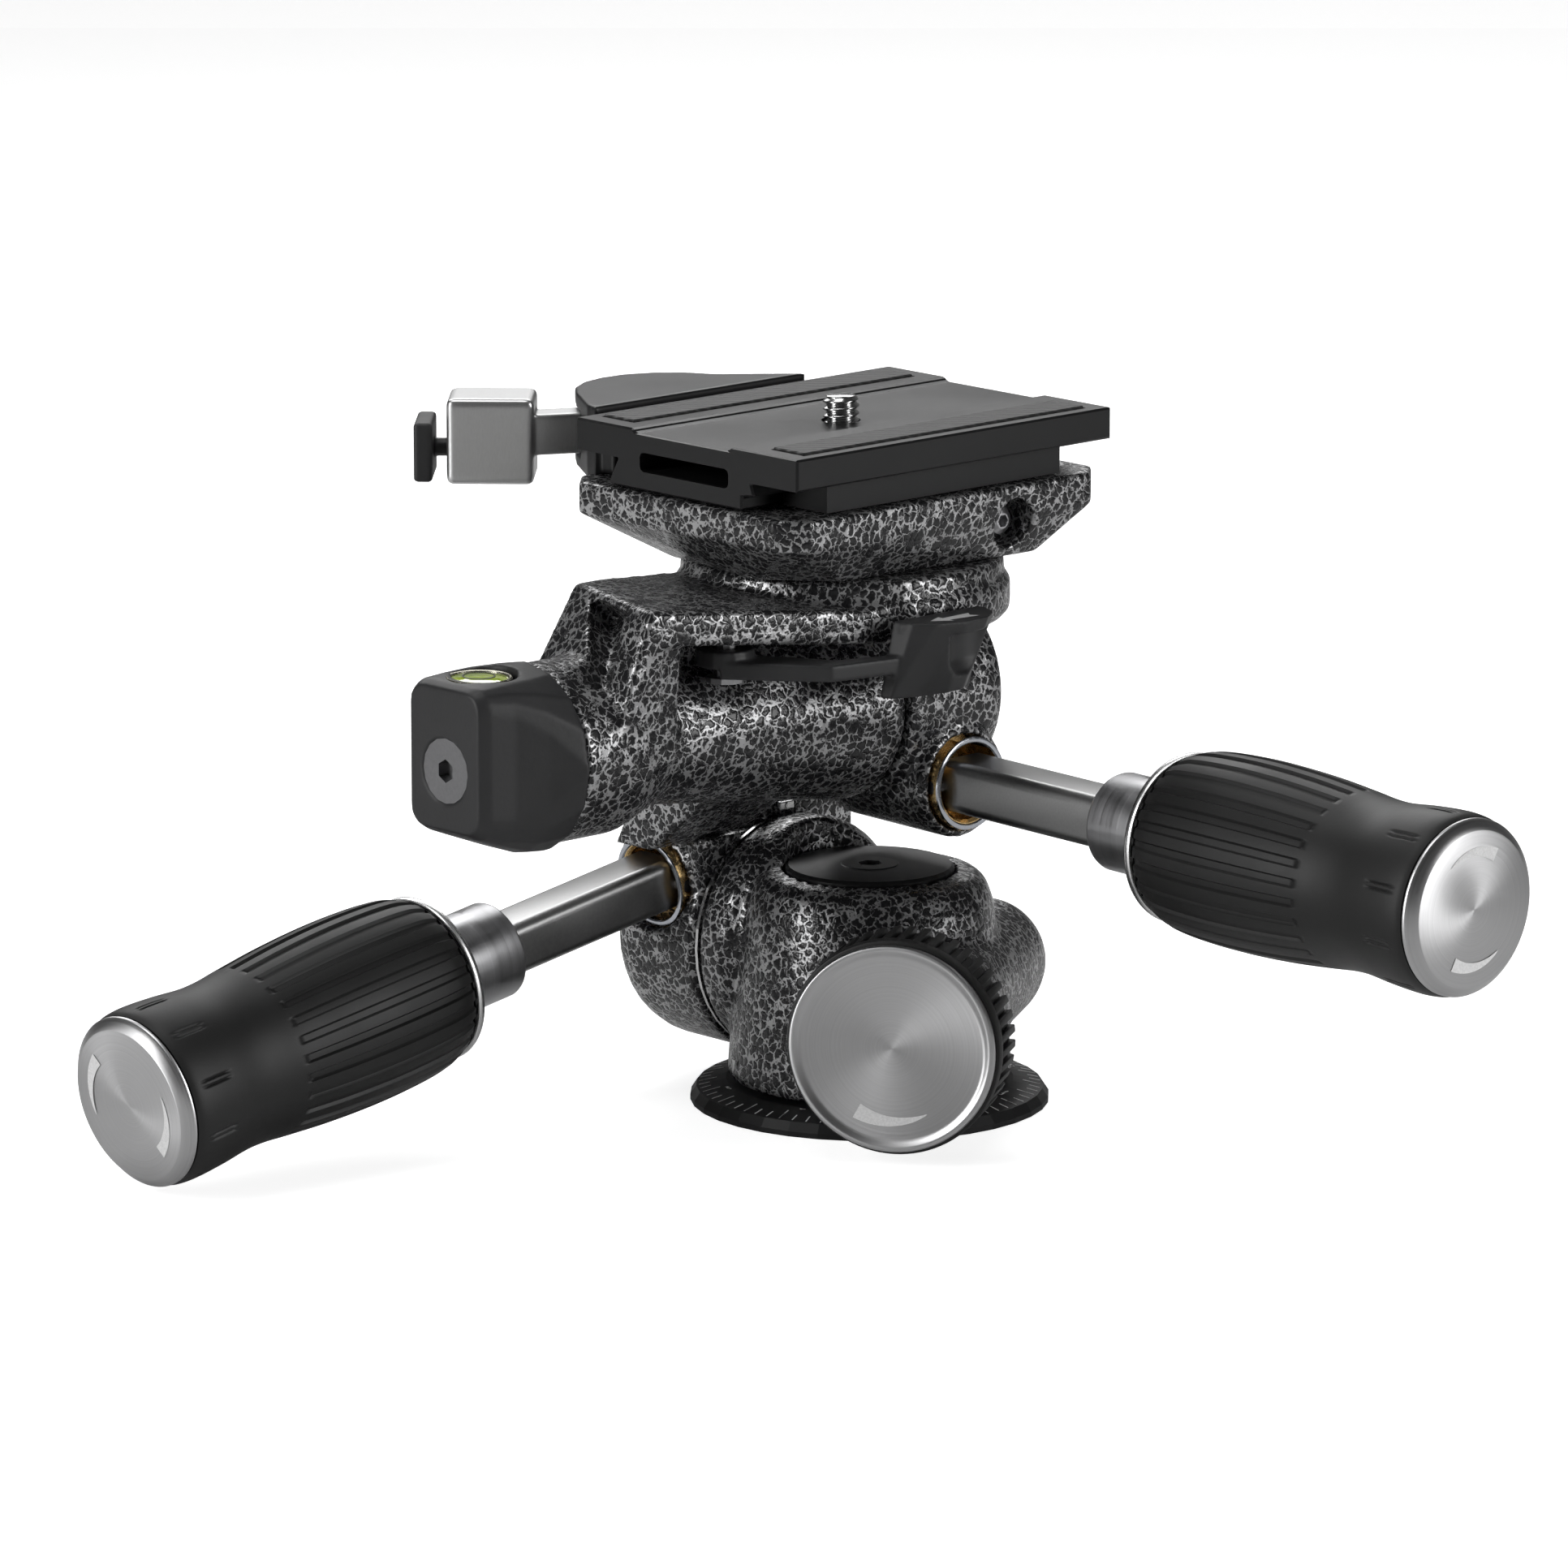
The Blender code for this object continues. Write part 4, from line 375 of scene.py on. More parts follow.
def anodised(name, colour=(0.009, 0.009, 0.0095), roughness=0.4):
    """Black anodised aluminium: an even satin with the faintest blasted grain."""
    made, tree, shader = surface(name, colour, roughness)
    shader.inputs["Specular IOR Level"].default_value = 0.3
    where = wire(tree, "ShaderNodeTexCoord").outputs["Object"]
    grain = wire(tree, "ShaderNodeTexNoise", {
        "Vector": where, "Scale": 4200.0, "Detail": 2.0, "Roughness": 0.6})
    cloud = wire(tree, "ShaderNodeTexNoise", {"Vector": where, "Scale": 45.0, "Detail": 2.0})
    gloss = ramp(tree, cloud.outputs["Fac"], ((0.3, roughness - 0.05), (0.7, roughness + 0.06)))
    tree.links.new(gloss.outputs["Color"], shader.inputs["Roughness"])
    bump = wire(tree, "ShaderNodeBump", {
        "Strength": 0.22, "Distance": 0.00003, "Height": grain.outputs["Fac"]})
    tree.links.new(bump.outputs["Normal"], shader.inputs["Normal"])
    return made


def dress(node, made):
    """Gives a CAD node that keeps its shape its finish."""
    slots = frame["nodes"][node].data.materials
    slots.clear()
    slots.append(made)


black_anodised = anodised("black_anodised")
white_mark, tree, shader = surface("white_marking", (0.75, 0.75, 0.74), 0.55)
speck = wire(tree, "ShaderNodeTexNoise", {
    "Vector": wire(tree, "ShaderNodeTexCoord").outputs["Object"], "Scale": 3000.0})
shade = ramp(tree, speck.outputs["Fac"], ((0.3, 0.66), (0.7, 0.8)))
tree.links.new(shade.outputs["Color"], shader.inputs["Base Color"])
dress("base_ring", black_anodised)


def grown(name, nodes_of, values, material):
    """Runs a Geometry Nodes tree built by nodes_of, and keeps its result as a plain mesh."""
    tree = bpy.data.node_groups.new(name, "GeometryNodeTree")
    tree.interface.new_socket("Geometry", in_out="OUTPUT", socket_type="NodeSocketGeometry")
    for key, value in values.items():
        kind = "NodeSocketInt" if isinstance(value, int) else "NodeSocketFloat"
        tree.interface.new_socket(key, in_out="INPUT", socket_type=kind)
    given = tree.nodes.new("NodeGroupInput")
    shape = nodes_of(tree, given.outputs)
    real = wire(tree, "GeometryNodeRealizeInstances", {"Geometry": shape})
    coat = wire(tree, "GeometryNodeSetMaterial", {
        "Geometry": real.outputs["Geometry"], "Material": material})
    result = tree.nodes.new("NodeGroupOutput")
    tree.links.new(coat.outputs["Geometry"], result.inputs["Geometry"])
    made = link(bpy.data.objects.new(name, bpy.data.meshes.new(name)))
    change = made.modifiers.new("grow", "NODES")
    change.node_group = tree
    for item in tree.interface.items_tree:
        if item.in_out == "INPUT":
            change[item.identifier] = values[item.name]
    finished(made)
    return made


def dial_ticks(tree, given):
    """Marks round the dial, every third one longer, as thin bars on its slope."""
    def ring_of(count, length):
        circle = wire(tree, "GeometryNodeMeshCircle", {
            "Vertices": given[count], "Radius": given["Radius"]})
        bar = wire(tree, "GeometryNodeMeshCube")
        size = wire(tree, "ShaderNodeCombineXYZ", {
            "X": given[length], "Y": given["Width"], "Z": given["Thickness"]})
        tree.links.new(size.outputs["Vector"], bar.inputs["Size"])
        half = wire(tree, "ShaderNodeMath", {0: given[length], 1: -0.5}, operation="MULTIPLY")
        slide = wire(tree, "ShaderNodeCombineXYZ", {"X": half.outputs["Value"]})
        moved = wire(tree, "GeometryNodeTransform", {
            "Geometry": bar.outputs["Mesh"], "Translation": slide.outputs["Vector"]})
        where = wire(tree, "GeometryNodeInputPosition")
        turn = wire(tree, "FunctionNodeAlignRotationToVector", {
            "Vector": where.outputs["Position"]}, axis="X", pivot_axis="Z")
        tilt = wire(tree, "FunctionNodeRotateRotation", {
            "Rotation": turn.outputs["Rotation"], "Rotate By": (0, dial_slope, 0)},
            rotation_space="LOCAL")
        return wire(tree, "GeometryNodeInstanceOnPoints", {
            "Points": circle.outputs["Mesh"], "Instance": moved.outputs["Geometry"],
            "Rotation": tilt.outputs["Rotation"]}).outputs["Instances"]

    both = tree.nodes.new("GeometryNodeJoinGeometry")
    for part in (ring_of("Short marks", "Short length"), ring_of("Long marks", "Long length")):
        tree.links.new(part, both.inputs["Geometry"])
    return both.outputs["Geometry"]


ticks = grown("dial_ticks", dial_ticks, {
    "Short marks": 72, "Long marks": 24, "Radius": 29.2 * MM, "Short length": 1.9 * MM,
    "Long length": 3.1 * MM, "Width": 0.22 * MM, "Thickness": 0.05 * MM}, white_mark)
ticks.data.transform(Matrix.Translation(spot(0, 0, 2.53)))
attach(ticks, "base")


def flat_text(name, words, size, place, material, thick=0.03 * MM):
    """Figures as a thin plate. place turns them from the XY plane to their spot."""
    curve = bpy.data.curves.new(name, "FONT")
    curve.body = words
    curve.size = size
    curve.align_x = "CENTER"
    curve.align_y = "CENTER"
    curve.extrude = thick
    text = link(bpy.data.objects.new(name + "_curve", curve))
    graph = bpy.context.evaluated_depsgraph_get()
    mesh = bpy.data.meshes.new_from_object(text.evaluated_get(graph))
    bpy.data.objects.remove(text)
    mesh.transform(place)
    mesh.materials.clear()
    mesh.materials.append(material)
    return mesh


def joined(name, meshes):
    """One object of several meshes that share a material."""
    made = merged(*meshes, name=name)
    made.materials.append(meshes[0].materials[0])
    return link(bpy.data.objects.new(name, made))


figures = []
slope = Matrix.Rotation(-dial_slope, 4, "X")
figure_gap = 45
for step in range(8):
    bearing = radians(200 - figure_gap * step)
    out = Vector((cos(bearing), sin(bearing), 0))
    turn = Matrix.Rotation(bearing + pi / 2, 4, "Z") @ slope
    seat = Matrix.Translation(spot(out.x * 25.2, out.y * 25.2, 3.52)) @ turn
    figures.append(flat_text(f"figure_{step}", str(figure_gap * step), 2.1 * MM, seat,
                             white_mark))
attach(joined("dial_figures", figures), "base")

# Pan axle, its cap and the socket screw on top: turned steel inside, black anodised outside.
# The cap drops into the housing's recess and the screw holds the whole pan bearing together.
def machined(name, colour, roughness, ring_axis=None, scale=900.0, depth=0.05):
    """Bare metal with fine tool marks. They run round ring_axis where one is given."""
    made, tree, shader = surface(name, colour, roughness, 1.0)
    where = wire(tree, "ShaderNodeTexCoord").outputs["Object"]
    if ring_axis is not None:
        inverse = ring_axis.inverted()
        moved = wire(tree, "ShaderNodeMapping", {
            "Vector": where, "Location": inverse.translation, "Rotation": inverse.to_euler()})
        parts = wire(tree, "ShaderNodeSeparateXYZ", {"Vector": moved.outputs["Vector"]})
        flat = wire(tree, "ShaderNodeCombineXYZ", {
            "X": parts.outputs["X"], "Y": parts.outputs["Y"]})
        radius = wire(tree, "ShaderNodeVectorMath", {0: flat.outputs["Vector"]},
                      operation="LENGTH")
        where = wire(tree, "ShaderNodeCombineXYZ", {
            "X": radius.outputs["Value"], "Z": parts.outputs["Z"]}).outputs["Vector"]
    marks = wire(tree, "ShaderNodeTexNoise", {
        "Vector": where, "Scale": scale, "Detail": 5.0, "Roughness": 0.7})
    gloss = ramp(tree, marks.outputs["Fac"], ((0.3, roughness - 0.06), (0.7, roughness + 0.08)))
    tree.links.new(gloss.outputs["Color"], shader.inputs["Roughness"])
    tone = ramp(tree, marks.outputs["Fac"], (
        (0.25, tuple(c * 0.86 for c in colour)), (0.75, tuple(min(1, c * 1.1) for c in colour))))
    tree.links.new(tone.outputs["Color"], shader.inputs["Base Color"])
    bump = wire(tree, "ShaderNodeBump", {
        "Strength": depth, "Distance": 0.00002, "Height": marks.outputs["Fac"]})
    tree.links.new(bump.outputs["Normal"], shader.inputs["Normal"])
    return made


steel = machined("turned_steel", (0.42, 0.42, 0.43), 0.34, scale=1500.0)
black_steel = anodised("blackened_steel", (0.022, 0.022, 0.023), 0.36)
dress("pan_axle", steel)
dress("pan_cap", black_anodised)
dress("rear_cap_screw", black_steel)
for name in ("roll_shaft", "nod_shaft", "swivel_bolt", "lever_pin", "platform_screw",
             "pan_knob_stud", "clamp_pivot_pin", "left_pivot_pin", "right_pivot_pin"):
    dress(name, steel)

# Plain bearings and clamp shoes, hidden inside the castings.
# The bearings are black acetal sleeves, and the split clamp shoes are turned brass.
def moulded(name, colour, roughness, grain, depth):
    """Moulded plastic or rubber with a fine spark-eroded grain."""
    made, tree, shader = surface(name, colour, roughness)
    shader.inputs["Specular IOR Level"].default_value = 0.4
    where = wire(tree, "ShaderNodeTexCoord").outputs["Object"]
    pits = wire(tree, "ShaderNodeTexNoise", {
        "Vector": where, "Scale": grain, "Detail": 3.0, "Roughness": 0.55})
    cloud = wire(tree, "ShaderNodeTexNoise", {"Vector": where, "Scale": 60.0, "Detail": 3.0})
    gloss = ramp(tree, cloud.outputs["Fac"], ((0.3, roughness - 0.05), (0.7, roughness + 0.05)))
    tree.links.new(gloss.outputs["Color"], shader.inputs["Roughness"])
    tone = ramp(tree, cloud.outputs["Fac"], (
        (0.3, tuple(c * 0.85 for c in colour)), (0.7, tuple(c * 1.2 for c in colour))))
    tree.links.new(tone.outputs["Color"], shader.inputs["Base Color"])
    bump = wire(tree, "ShaderNodeBump", {
        "Strength": depth, "Distance": 0.00008, "Height": pits.outputs["Fac"]})
    tree.links.new(bump.outputs["Normal"], shader.inputs["Normal"])
    return made


acetal = moulded("black_acetal", (0.02, 0.02, 0.02), 0.4, 2200.0, 0.1)
brass = machined("turned_brass", (0.8, 0.56, 0.26), 0.25, scale=6000.0, depth=0.01)
for name in ("pan_bush_lower", "pan_bush_upper", "roll_bush", "nod_bush_left", "nod_bush_right"):
    dress(name, acetal)
for name in ("pan_clamp_anchor", "pan_clamp_shoe", "left_clamp_anchor", "left_clamp_shoe",
             "right_clamp_anchor", "right_clamp_shoe", "left_bush", "right_bush"):
    dress(name, brass)

# Pan knob: a rubber covered body with square lugs and a spun aluminium face pressed into it.
# It turns on the clamp stud that leaves the housing beside the pan axis.
def shown(name, mesh, material, body, *nodes):
    """Puts a finished mesh in the scene on its body, in place of the CAD nodes named."""
    mesh.materials.clear()
    mesh.materials.append(material)
    made = link(bpy.data.objects.new(name, mesh))
    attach(made, body)
    if nodes:
        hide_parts(*nodes)
    return made


knob_rubber = moulded("knob_rubber", (0.008, 0.008, 0.008), 0.5, 1600.0, 0.12)
knob_lugs = 44
lug_size = (1.25 * MM, 1.35 * MM, 9.0 * MM)
lug_place = (17.68 * MM, 0, 37.75 * MM)
bm = bmesh.new()
bm.from_mesh(turned("knob_core", [
    (0, 43.6), (16.4, 43.6), (16.4, 44.6), (17.9, 44.6), (18.15, 44.5), (18.3, 44.2),
    (18.3, 42.4), (18.1, 42.2), (17.3, 42.1), (17.3, 34.0), (17.0, 33.2), (16.3, 32.75),
    (15.0, 32.6), (2.6, 32.6), (2.6, 34.0), (0, 34.0)], knob_axis))
for i in range(knob_lugs):
    lug = Matrix.Rotation(2 * pi * (i + 0.725) / knob_lugs, 4, "Z")
    made = bmesh.ops.create_cube(bm, size=1)["verts"]
    bmesh.ops.scale(bm, vec=lug_size, verts=made)
    edges = {e for v in made for e in v.link_edges}
    rounded = bmesh.ops.bevel(bm, geom=list(edges), offset=0.22 * MM, segments=2, profile=0.5,
                              affect="EDGES", clamp_overlap=True)
    corners = list({v for f in rounded["faces"] for v in f.verts} | {v for v in made if v.is_valid})
    bmesh.ops.transform(bm, matrix=knob_axis @ lug @ Matrix.Translation(lug_place), verts=corners)
shown("knob_body", ended(bm, "knob_body", 40), knob_rubber, "pan_knob", "pan_knob")


def spun(name, axis, colour=(0.5, 0.5, 0.505), roughness=0.34):
    """Spun aluminium: the tool's fine rings make its highlights fan out from the middle."""
    made = machined(name, colour, roughness, axis, 2600.0, 0.03)
    tree = made.node_tree
    shader = tree.nodes["Principled BSDF"]
    shader.inputs["Anisotropic"].default_value = 0.7
    where = wire(tree, "ShaderNodeTexCoord").outputs["Object"]
    outward = axis.to_3x3().col[2]
    centre = wire(tree, "ShaderNodeVectorMath", {0: where, 1: axis.translation},
                  operation="SUBTRACT")
    round_it = wire(tree, "ShaderNodeVectorMath", {0: outward, 1: centre.outputs["Vector"]},
                    operation="CROSS_PRODUCT")
    along = wire(tree, "ShaderNodeVectorMath", {0: round_it.outputs["Vector"]},
                 operation="NORMALIZE")
    tree.links.new(along.outputs["Vector"], shader.inputs["Tangent"])
    return made


def swoosh(name, middle, start, end, place, widest, rise=0.03):
    """A tapered arc painted on a face: it starts as a point and ends broad, all in millimetres."""
    steps = 28
    inner, outer = [], []
    for i in range(steps + 1):
        share = i / steps
        angle = radians(start + (end - start) * share)
        half = widest * (0.04 + 0.96 * share ** 0.8) / 2
        inner.append(((middle - half) * cos(angle), (middle - half) * sin(angle)))
        outer.append(((middle + half) * cos(angle), (middle + half) * sin(angle)))
    mesh = bpy.data.meshes.new(name)
    corners = [place @ Vector((x * MM, y * MM, rise * MM)) for x, y in inner + outer]
    count = steps + 1
    mesh.from_pydata(corners, [], [
        (i, i + 1, count + i + 1, count + i) for i in range(steps)])
    normal = place.to_3x3().col[2]
    if mesh.polygons[0].normal.dot(normal) < 0:
        mesh.flip_normals()
    return mesh


silver_mark, tree, shader = surface("silver_marking", (0.72, 0.72, 0.72), 0.5, 0.3)
speck = wire(tree, "ShaderNodeTexNoise", {
    "Vector": wire(tree, "ShaderNodeTexCoord").outputs["Object"], "Scale": 2600.0})
shade = ramp(tree, speck.outputs["Fac"], ((0.3, 0.66), (0.7, 0.78)))
tree.links.new(shade.outputs["Color"], shader.inputs["Base Color"])
face = turned("knob_face", [
    (0, 45.35), (15.4, 45.4), (16.1, 45.6), (16.6, 46.05), (17.05, 46.1), (17.45, 45.95),
    (17.65, 45.6), (17.65, 44.95), (17.4, 44.8), (16.0, 44.8), (16.0, 43.9), (0, 43.9)],
    knob_axis, 128)
shown("knob_face", face, spun("knob_face_metal", knob_axis), "pan_knob", "pan_knob_face")
shown("knob_turn_mark", swoosh("knob_turn_mark", 12.4, 299, 241, knob_axis @ Matrix.Translation(
    (0, 0, 45.42 * MM)), 2.8), silver_mark, "pan_knob")

# The pan cap's screw: a flush socket screw, blackened, with a small hexagon in its head.
# The white triangle low on the housing reads the degree scale on the ring below it.
pan_centre = Matrix.Translation(PAN_AXIS)
cap_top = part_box("pan_cap")[1].z / MM + 0.15
screw_disc = turned("screw_disc", [
    (0, cap_top), (4.85, cap_top), (5, cap_top - 0.12), (5, cap_top - 0.7), (0, cap_top - 0.7)],
    pan_centre, 64)
screw_socket = turned("screw_socket", [
    (0, cap_top + 1), (2.1, cap_top + 1), (2.1, cap_top - 0.6), (0, cap_top - 0.6)],
    pan_centre, 6)
screw_disc = carved(screw_disc, screw_socket)
screw_disc.shade_smooth()
screw_disc.set_sharp_from_angle(angle=radians(30))
shown("cap_flush_screw", screw_disc, black_steel, "base", "cap_screw")
index_way = radians(155)
index_out = Vector((cos(index_way), sin(index_way), 0))
index_face = aimed(spot(0, 0, 7.2) + index_out * 24.4 * MM, index_out)
triangle = bpy.data.meshes.new("pan_index")
triangle.from_pydata([index_face @ Vector((x * MM, y * MM, 0)) for x, y in (
    (-0.9, 1.1), (0, -1.1), (0.9, 1.1))], [], [(0, 1, 2)])
shown("pan_index", triangle, white_mark, "pan_housing")

# Handles: a grip on a flat-sided steel shaft, with a steel collar and an aluminium ring.
# Each shaft folds at a pin in a brass bush, which turns in the casting to work the clamp.
left_out = Vector((-cos(radians(9.6)), 0, -sin(radians(9.6))))
right_out = Vector((0, -cos(radians(1)), -sin(radians(1))))
handles = {
    "left": aimed(spot(-20.5, 33.0, 35.4), left_out),
    "right": aimed(spot(11.5, -12.5, 55.2), right_out) @ Matrix.Rotation(pi, 4, "Z"),
}
grip_profile = (
    (0.0, 14.0), (0.012, 14.5), (0.06, 15.4), (0.16, 15.95), (0.3, 16.1), (0.46, 15.7),
    (0.6, 14.95), (0.68, 14.45), (0.75, 14.4), (0.85, 15.0), (0.94, 15.3), (0.985, 15.1), (1.0, 14.7),
)
grip_start, grip_end = 53.1, 114.8
grip_channels, end_lines = 28, 10
mark_sweep = 66
grip_rubber = moulded("grip_rubber", (0.007, 0.007, 0.007), 0.5, 1500.0, 0.14)
shaft_steel, tree, shader = surface("shaft_steel", (0.34, 0.34, 0.345), 0.34, 1.0)
flow = wire(tree, "ShaderNodeTexNoise", {
    "Vector": wire(tree, "ShaderNodeTexCoord").outputs["Object"], "Scale": 2400.0, "Detail": 4.0})
tone = ramp(tree, flow.outputs["Fac"], ((0.3, 0.32), (0.7, 0.36)))
tree.links.new(tone.outputs["Color"], shader.inputs["Base Color"])
gloss = ramp(tree, flow.outputs["Fac"], ((0.3, 0.31), (0.7, 0.36)))
tree.links.new(gloss.outputs["Color"], shader.inputs["Roughness"])


def smooth_between(points, share):
    """Reads a table of places and radii along a smooth curve through it."""
    for i in range(len(points) - 1):
        if share <= points[i + 1][0] or i == len(points) - 2:
            break
    (x0, y0), (x1, y1) = points[i], points[i + 1]
    before = points[max(i - 1, 0)]
    after = points[min(i + 2, len(points) - 1)]
    slope0 = (y1 - before[1]) / max(x1 - before[0], 1e-6) if i else (y1 - y0) / (x1 - x0)
    slope1 = (after[1] - y0) / max(after[0] - x0, 1e-6)
    width = x1 - x0
    t = min(max((share - x0) / width, 0), 1)
    return ((2 * t ** 3 - 3 * t ** 2 + 1) * y0 + (t ** 3 - 2 * t ** 2 + t) * width * slope0
            + (3 * t ** 2 - 2 * t ** 3) * y1 + (t ** 3 - t ** 2) * width * slope1)


def eased(low, high, value):
    t = min(max((value - low) / (high - low), 0), 1)
    return t * t * (3 - 2 * t)


def skin(bm, rows):
    """Faces between each closed row of points and the next."""
    for low, high in zip(rows, rows[1:]):
        for i in range(len(low)):
            j = (i + 1) % len(low)
            bm.faces.new((low[i], low[j], high[j], high[i]))


def grip_mesh(name, place, around=560, along=110):
    """The rubber sleeve: round-ended channels, a plain waist and faint lines near its end."""
    bm = bmesh.new()
    rows = []
    for j in range(along + 1):
        share = j / along
        height = grip_start + (grip_end - grip_start) * share
        radius = smooth_between(grip_profile, share)
        row = []
        for i in range(around):
            phase = (i / around * grip_channels) % 1
            groove = 1 - eased(0.17, 0.24, abs(phase - 0.5))
            depth = 0.5 * groove * (1 - eased(0.6, 0.615, share))
            short = (i / around * end_lines) % 1
            line = max(0, 1 - (min(abs(short - 0.45), abs(short - 0.55)) / 0.03) ** 2)
            depth += 0.3 * line * eased(0.86, 0.88, share) * (1 - eased(0.95, 0.97, share))
            angle = 2 * pi * i / around
            r = (radius - depth) * MM
            row.append(bm.verts.new(place @ Vector((
                r * cos(angle), r * sin(angle), height * MM))))
        rows.append(row)
    skin(bm, rows)
    for row, height in ((rows[0], grip_start), (rows[-1], grip_end)):
        centre = bm.verts.new(place @ Vector((0, 0, height * MM)))
        for i in range(around):
            bm.faces.new((centre, row[i], row[(i + 1) % around]))
    bmesh.ops.recalc_face_normals(bm, faces=bm.faces)
    return ended(bm, name, 45)


def shaft_mesh(name, place, width=10.5, thick=9.0, corner=2.0):
    """A flat-sided bar with rounded corners, from the fold pin to inside the collar."""
    outline = []
    for i, (sx, sy) in enumerate(((1, 1), (-1, 1), (-1, -1), (1, -1))):
        for k in range(7):
            angle = i * pi / 2 + k * pi / 12
            outline.append((sx * (width / 2 - corner) + corner * cos(angle),
                            sy * (thick / 2 - corner) + corner * sin(angle)))
    bm = bmesh.new()
    rows = []
    for height, scale in ((-4.6, 0.55), (-3.6, 0.8), (-1.8, 1.0), (36.6, 1.0), (40.0, 1.0)):
        rows.append([bm.verts.new(place @ Vector((x * (scale if height < -1.9 else 1) * MM,
                                                  y * scale * MM, height * MM)))
                     for x, y in outline])
    skin(bm, rows)
    bm.faces.new(rows[0])
    bm.faces.new(rows[-1])
    bmesh.ops.recalc_face_normals(bm, faces=bm.faces)
    return ended(bm, name, 28)


for side, place in handles.items():
    arm = f"{side}_handle"
    shown(f"{side}_mouth_ring", turned(f"{side}_mouth_ring", [
        (7.0, 0.05), (7.2, 0.32), (7.6, 0.4), (7.95, 0.28), (8.05, 0.0), (7.0, 0.0), (7.0, 0.05)],
        place), machined(f"{side}_mouth_steel", (0.5, 0.52, 0.56), 0.22), f"{side}_bush")
    shown(f"{side}_bar", shaft_mesh(f"{side}_bar", place), shaft_steel, arm, f"{side}_shaft")
    brushed = machined(f"{side}_collar_steel", (0.42, 0.42, 0.43), 0.34, place, 1500.0, 0.2)
    brushed.node_tree.nodes["Principled BSDF"].inputs["Anisotropic"].default_value = 0.5
    shown(f"{side}_sleeve_collar", turned(f"{side}_sleeve_collar", [
        (0, 50.9), (8.4, 50.9), (8.4, 36.9), (8.25, 36.5), (7.6, 36.05), (6.6, 36.0), (6.3, 36.4),
        (0, 36.4)], place), brushed, arm, f"{side}_collar")
    shown(f"{side}_thin_ring", turned(f"{side}_thin_ring", [
        (0, 52.8), (13.9, 52.8), (14.3, 52.6), (14.4, 52.3), (14.4, 51.7), (14.25, 51.35),
        (13.9, 51.2), (0, 51.2)], place),
        spun(f"{side}_ring_metal", place, (0.7, 0.7, 0.7), 0.24), arm, f"{side}_ring")
    shown(f"{side}_rubber_grip", grip_mesh(f"{side}_rubber_grip", place), grip_rubber, arm,
          f"{side}_grip")
    shown(f"{side}_spun_end", turned(f"{side}_spun_end", [
        (0, 117.3), (12.9, 117.3), (13.1, 117.2), (14.6, 115.9), (14.75, 115.6), (14.75, 115.2),
        (14.6, 115.05), (8.0, 115.05), (8.0, 110.8), (0, 110.8)], place, 128),
        spun(f"{side}_end_metal", place), arm, f"{side}_end_cap")
    marks_from = 200 if side == "left" else 127
    for number, start in ((1, marks_from), (2, marks_from + 180)):
        mark = f"{side}_end_mark_{number}"
        shown(mark, swoosh(mark, 9.6, start, start - mark_sweep, place @ Matrix.Translation(
            (0, 0, 117.36 * MM)), 2.3), silver_mark, arm)

# Level housing: a black moulded cap on the barrel's end, held by one long countersunk screw.
# Its top carries a round bullseye level in a thin metal cup.
cap_plastic = moulded("cap_plastic", (0.018, 0.018, 0.019), 0.5, 1100.0, 0.35)
cap_root = spot(-71.5, 0, 0)
shorter = (Matrix.Translation(cap_root) @ Matrix.Diagonal((0.885, 1, 1, 1))
           @ Matrix.Translation(-cap_root))
cap_form = cad_copy("level_housing")
cap_form.transform(shorter)
rebuilt("level_cap", "level_housing", "upper_body", 0.00038, 7, cap_plastic, cap_form)
screw_grey = machined("screw_grey", (0.2, 0.2, 0.205), 0.4, scale=1500.0)
screw_form = cad_copy("axis_screw")
screw_form.transform(shorter)
shown("long_screw_head", screw_form, screw_grey, "upper_body", "axis_screw")

vial_top = Matrix.Translation(spot(-82, 7, 84.08))
fluid, tree, shader = surface("level_fluid", (0.5, 0.68, 0.06), 0.06)
shader.inputs["Coat Weight"].default_value = 1.0
shader.inputs["Coat Roughness"].default_value = 0.03
drops = wire(tree, "ShaderNodeTexNoise", {
    "Vector": wire(tree, "ShaderNodeTexCoord").outputs["Object"], "Scale": 240.0})
tone = ramp(tree, drops.outputs["Fac"], ((0.3, (0.36, 0.52, 0.04)), (0.7, (0.66, 0.8, 0.1))))
tree.links.new(tone.outputs["Color"], shader.inputs["Base Color"])
shown("bullseye_fluid", turned("bullseye_fluid", [
    (0, 0.15), (2.0, 0.08), (3.8, -0.12), (4.9, -0.4), (4.9, -5.6), (0, -5.6)], vial_top),
    fluid, "upper_body", "level_vial")
shown("bullseye_cup", turned("bullseye_cup", [
    (4.95, -0.35), (5.1, -0.1), (5.4, -0.05), (5.6, -0.3), (5.6, -5.8), (4.95, -5.8),
    (4.95, -0.35)], vial_top), machined("cup_metal", (0.62, 0.6, 0.5), 0.25), "upper_body")
line_black = moulded("level_line", (0.01, 0.01, 0.01), 0.4, 2000.0, 0.05)
shown("bullseye_circle", turned("bullseye_circle", [
    (2.5, 0.1), (2.55, 0.13), (2.75, 0.1), (2.75, 0.04), (2.5, 0.06), (2.5, 0.1)], vial_top, 64),
    line_black, "upper_body")

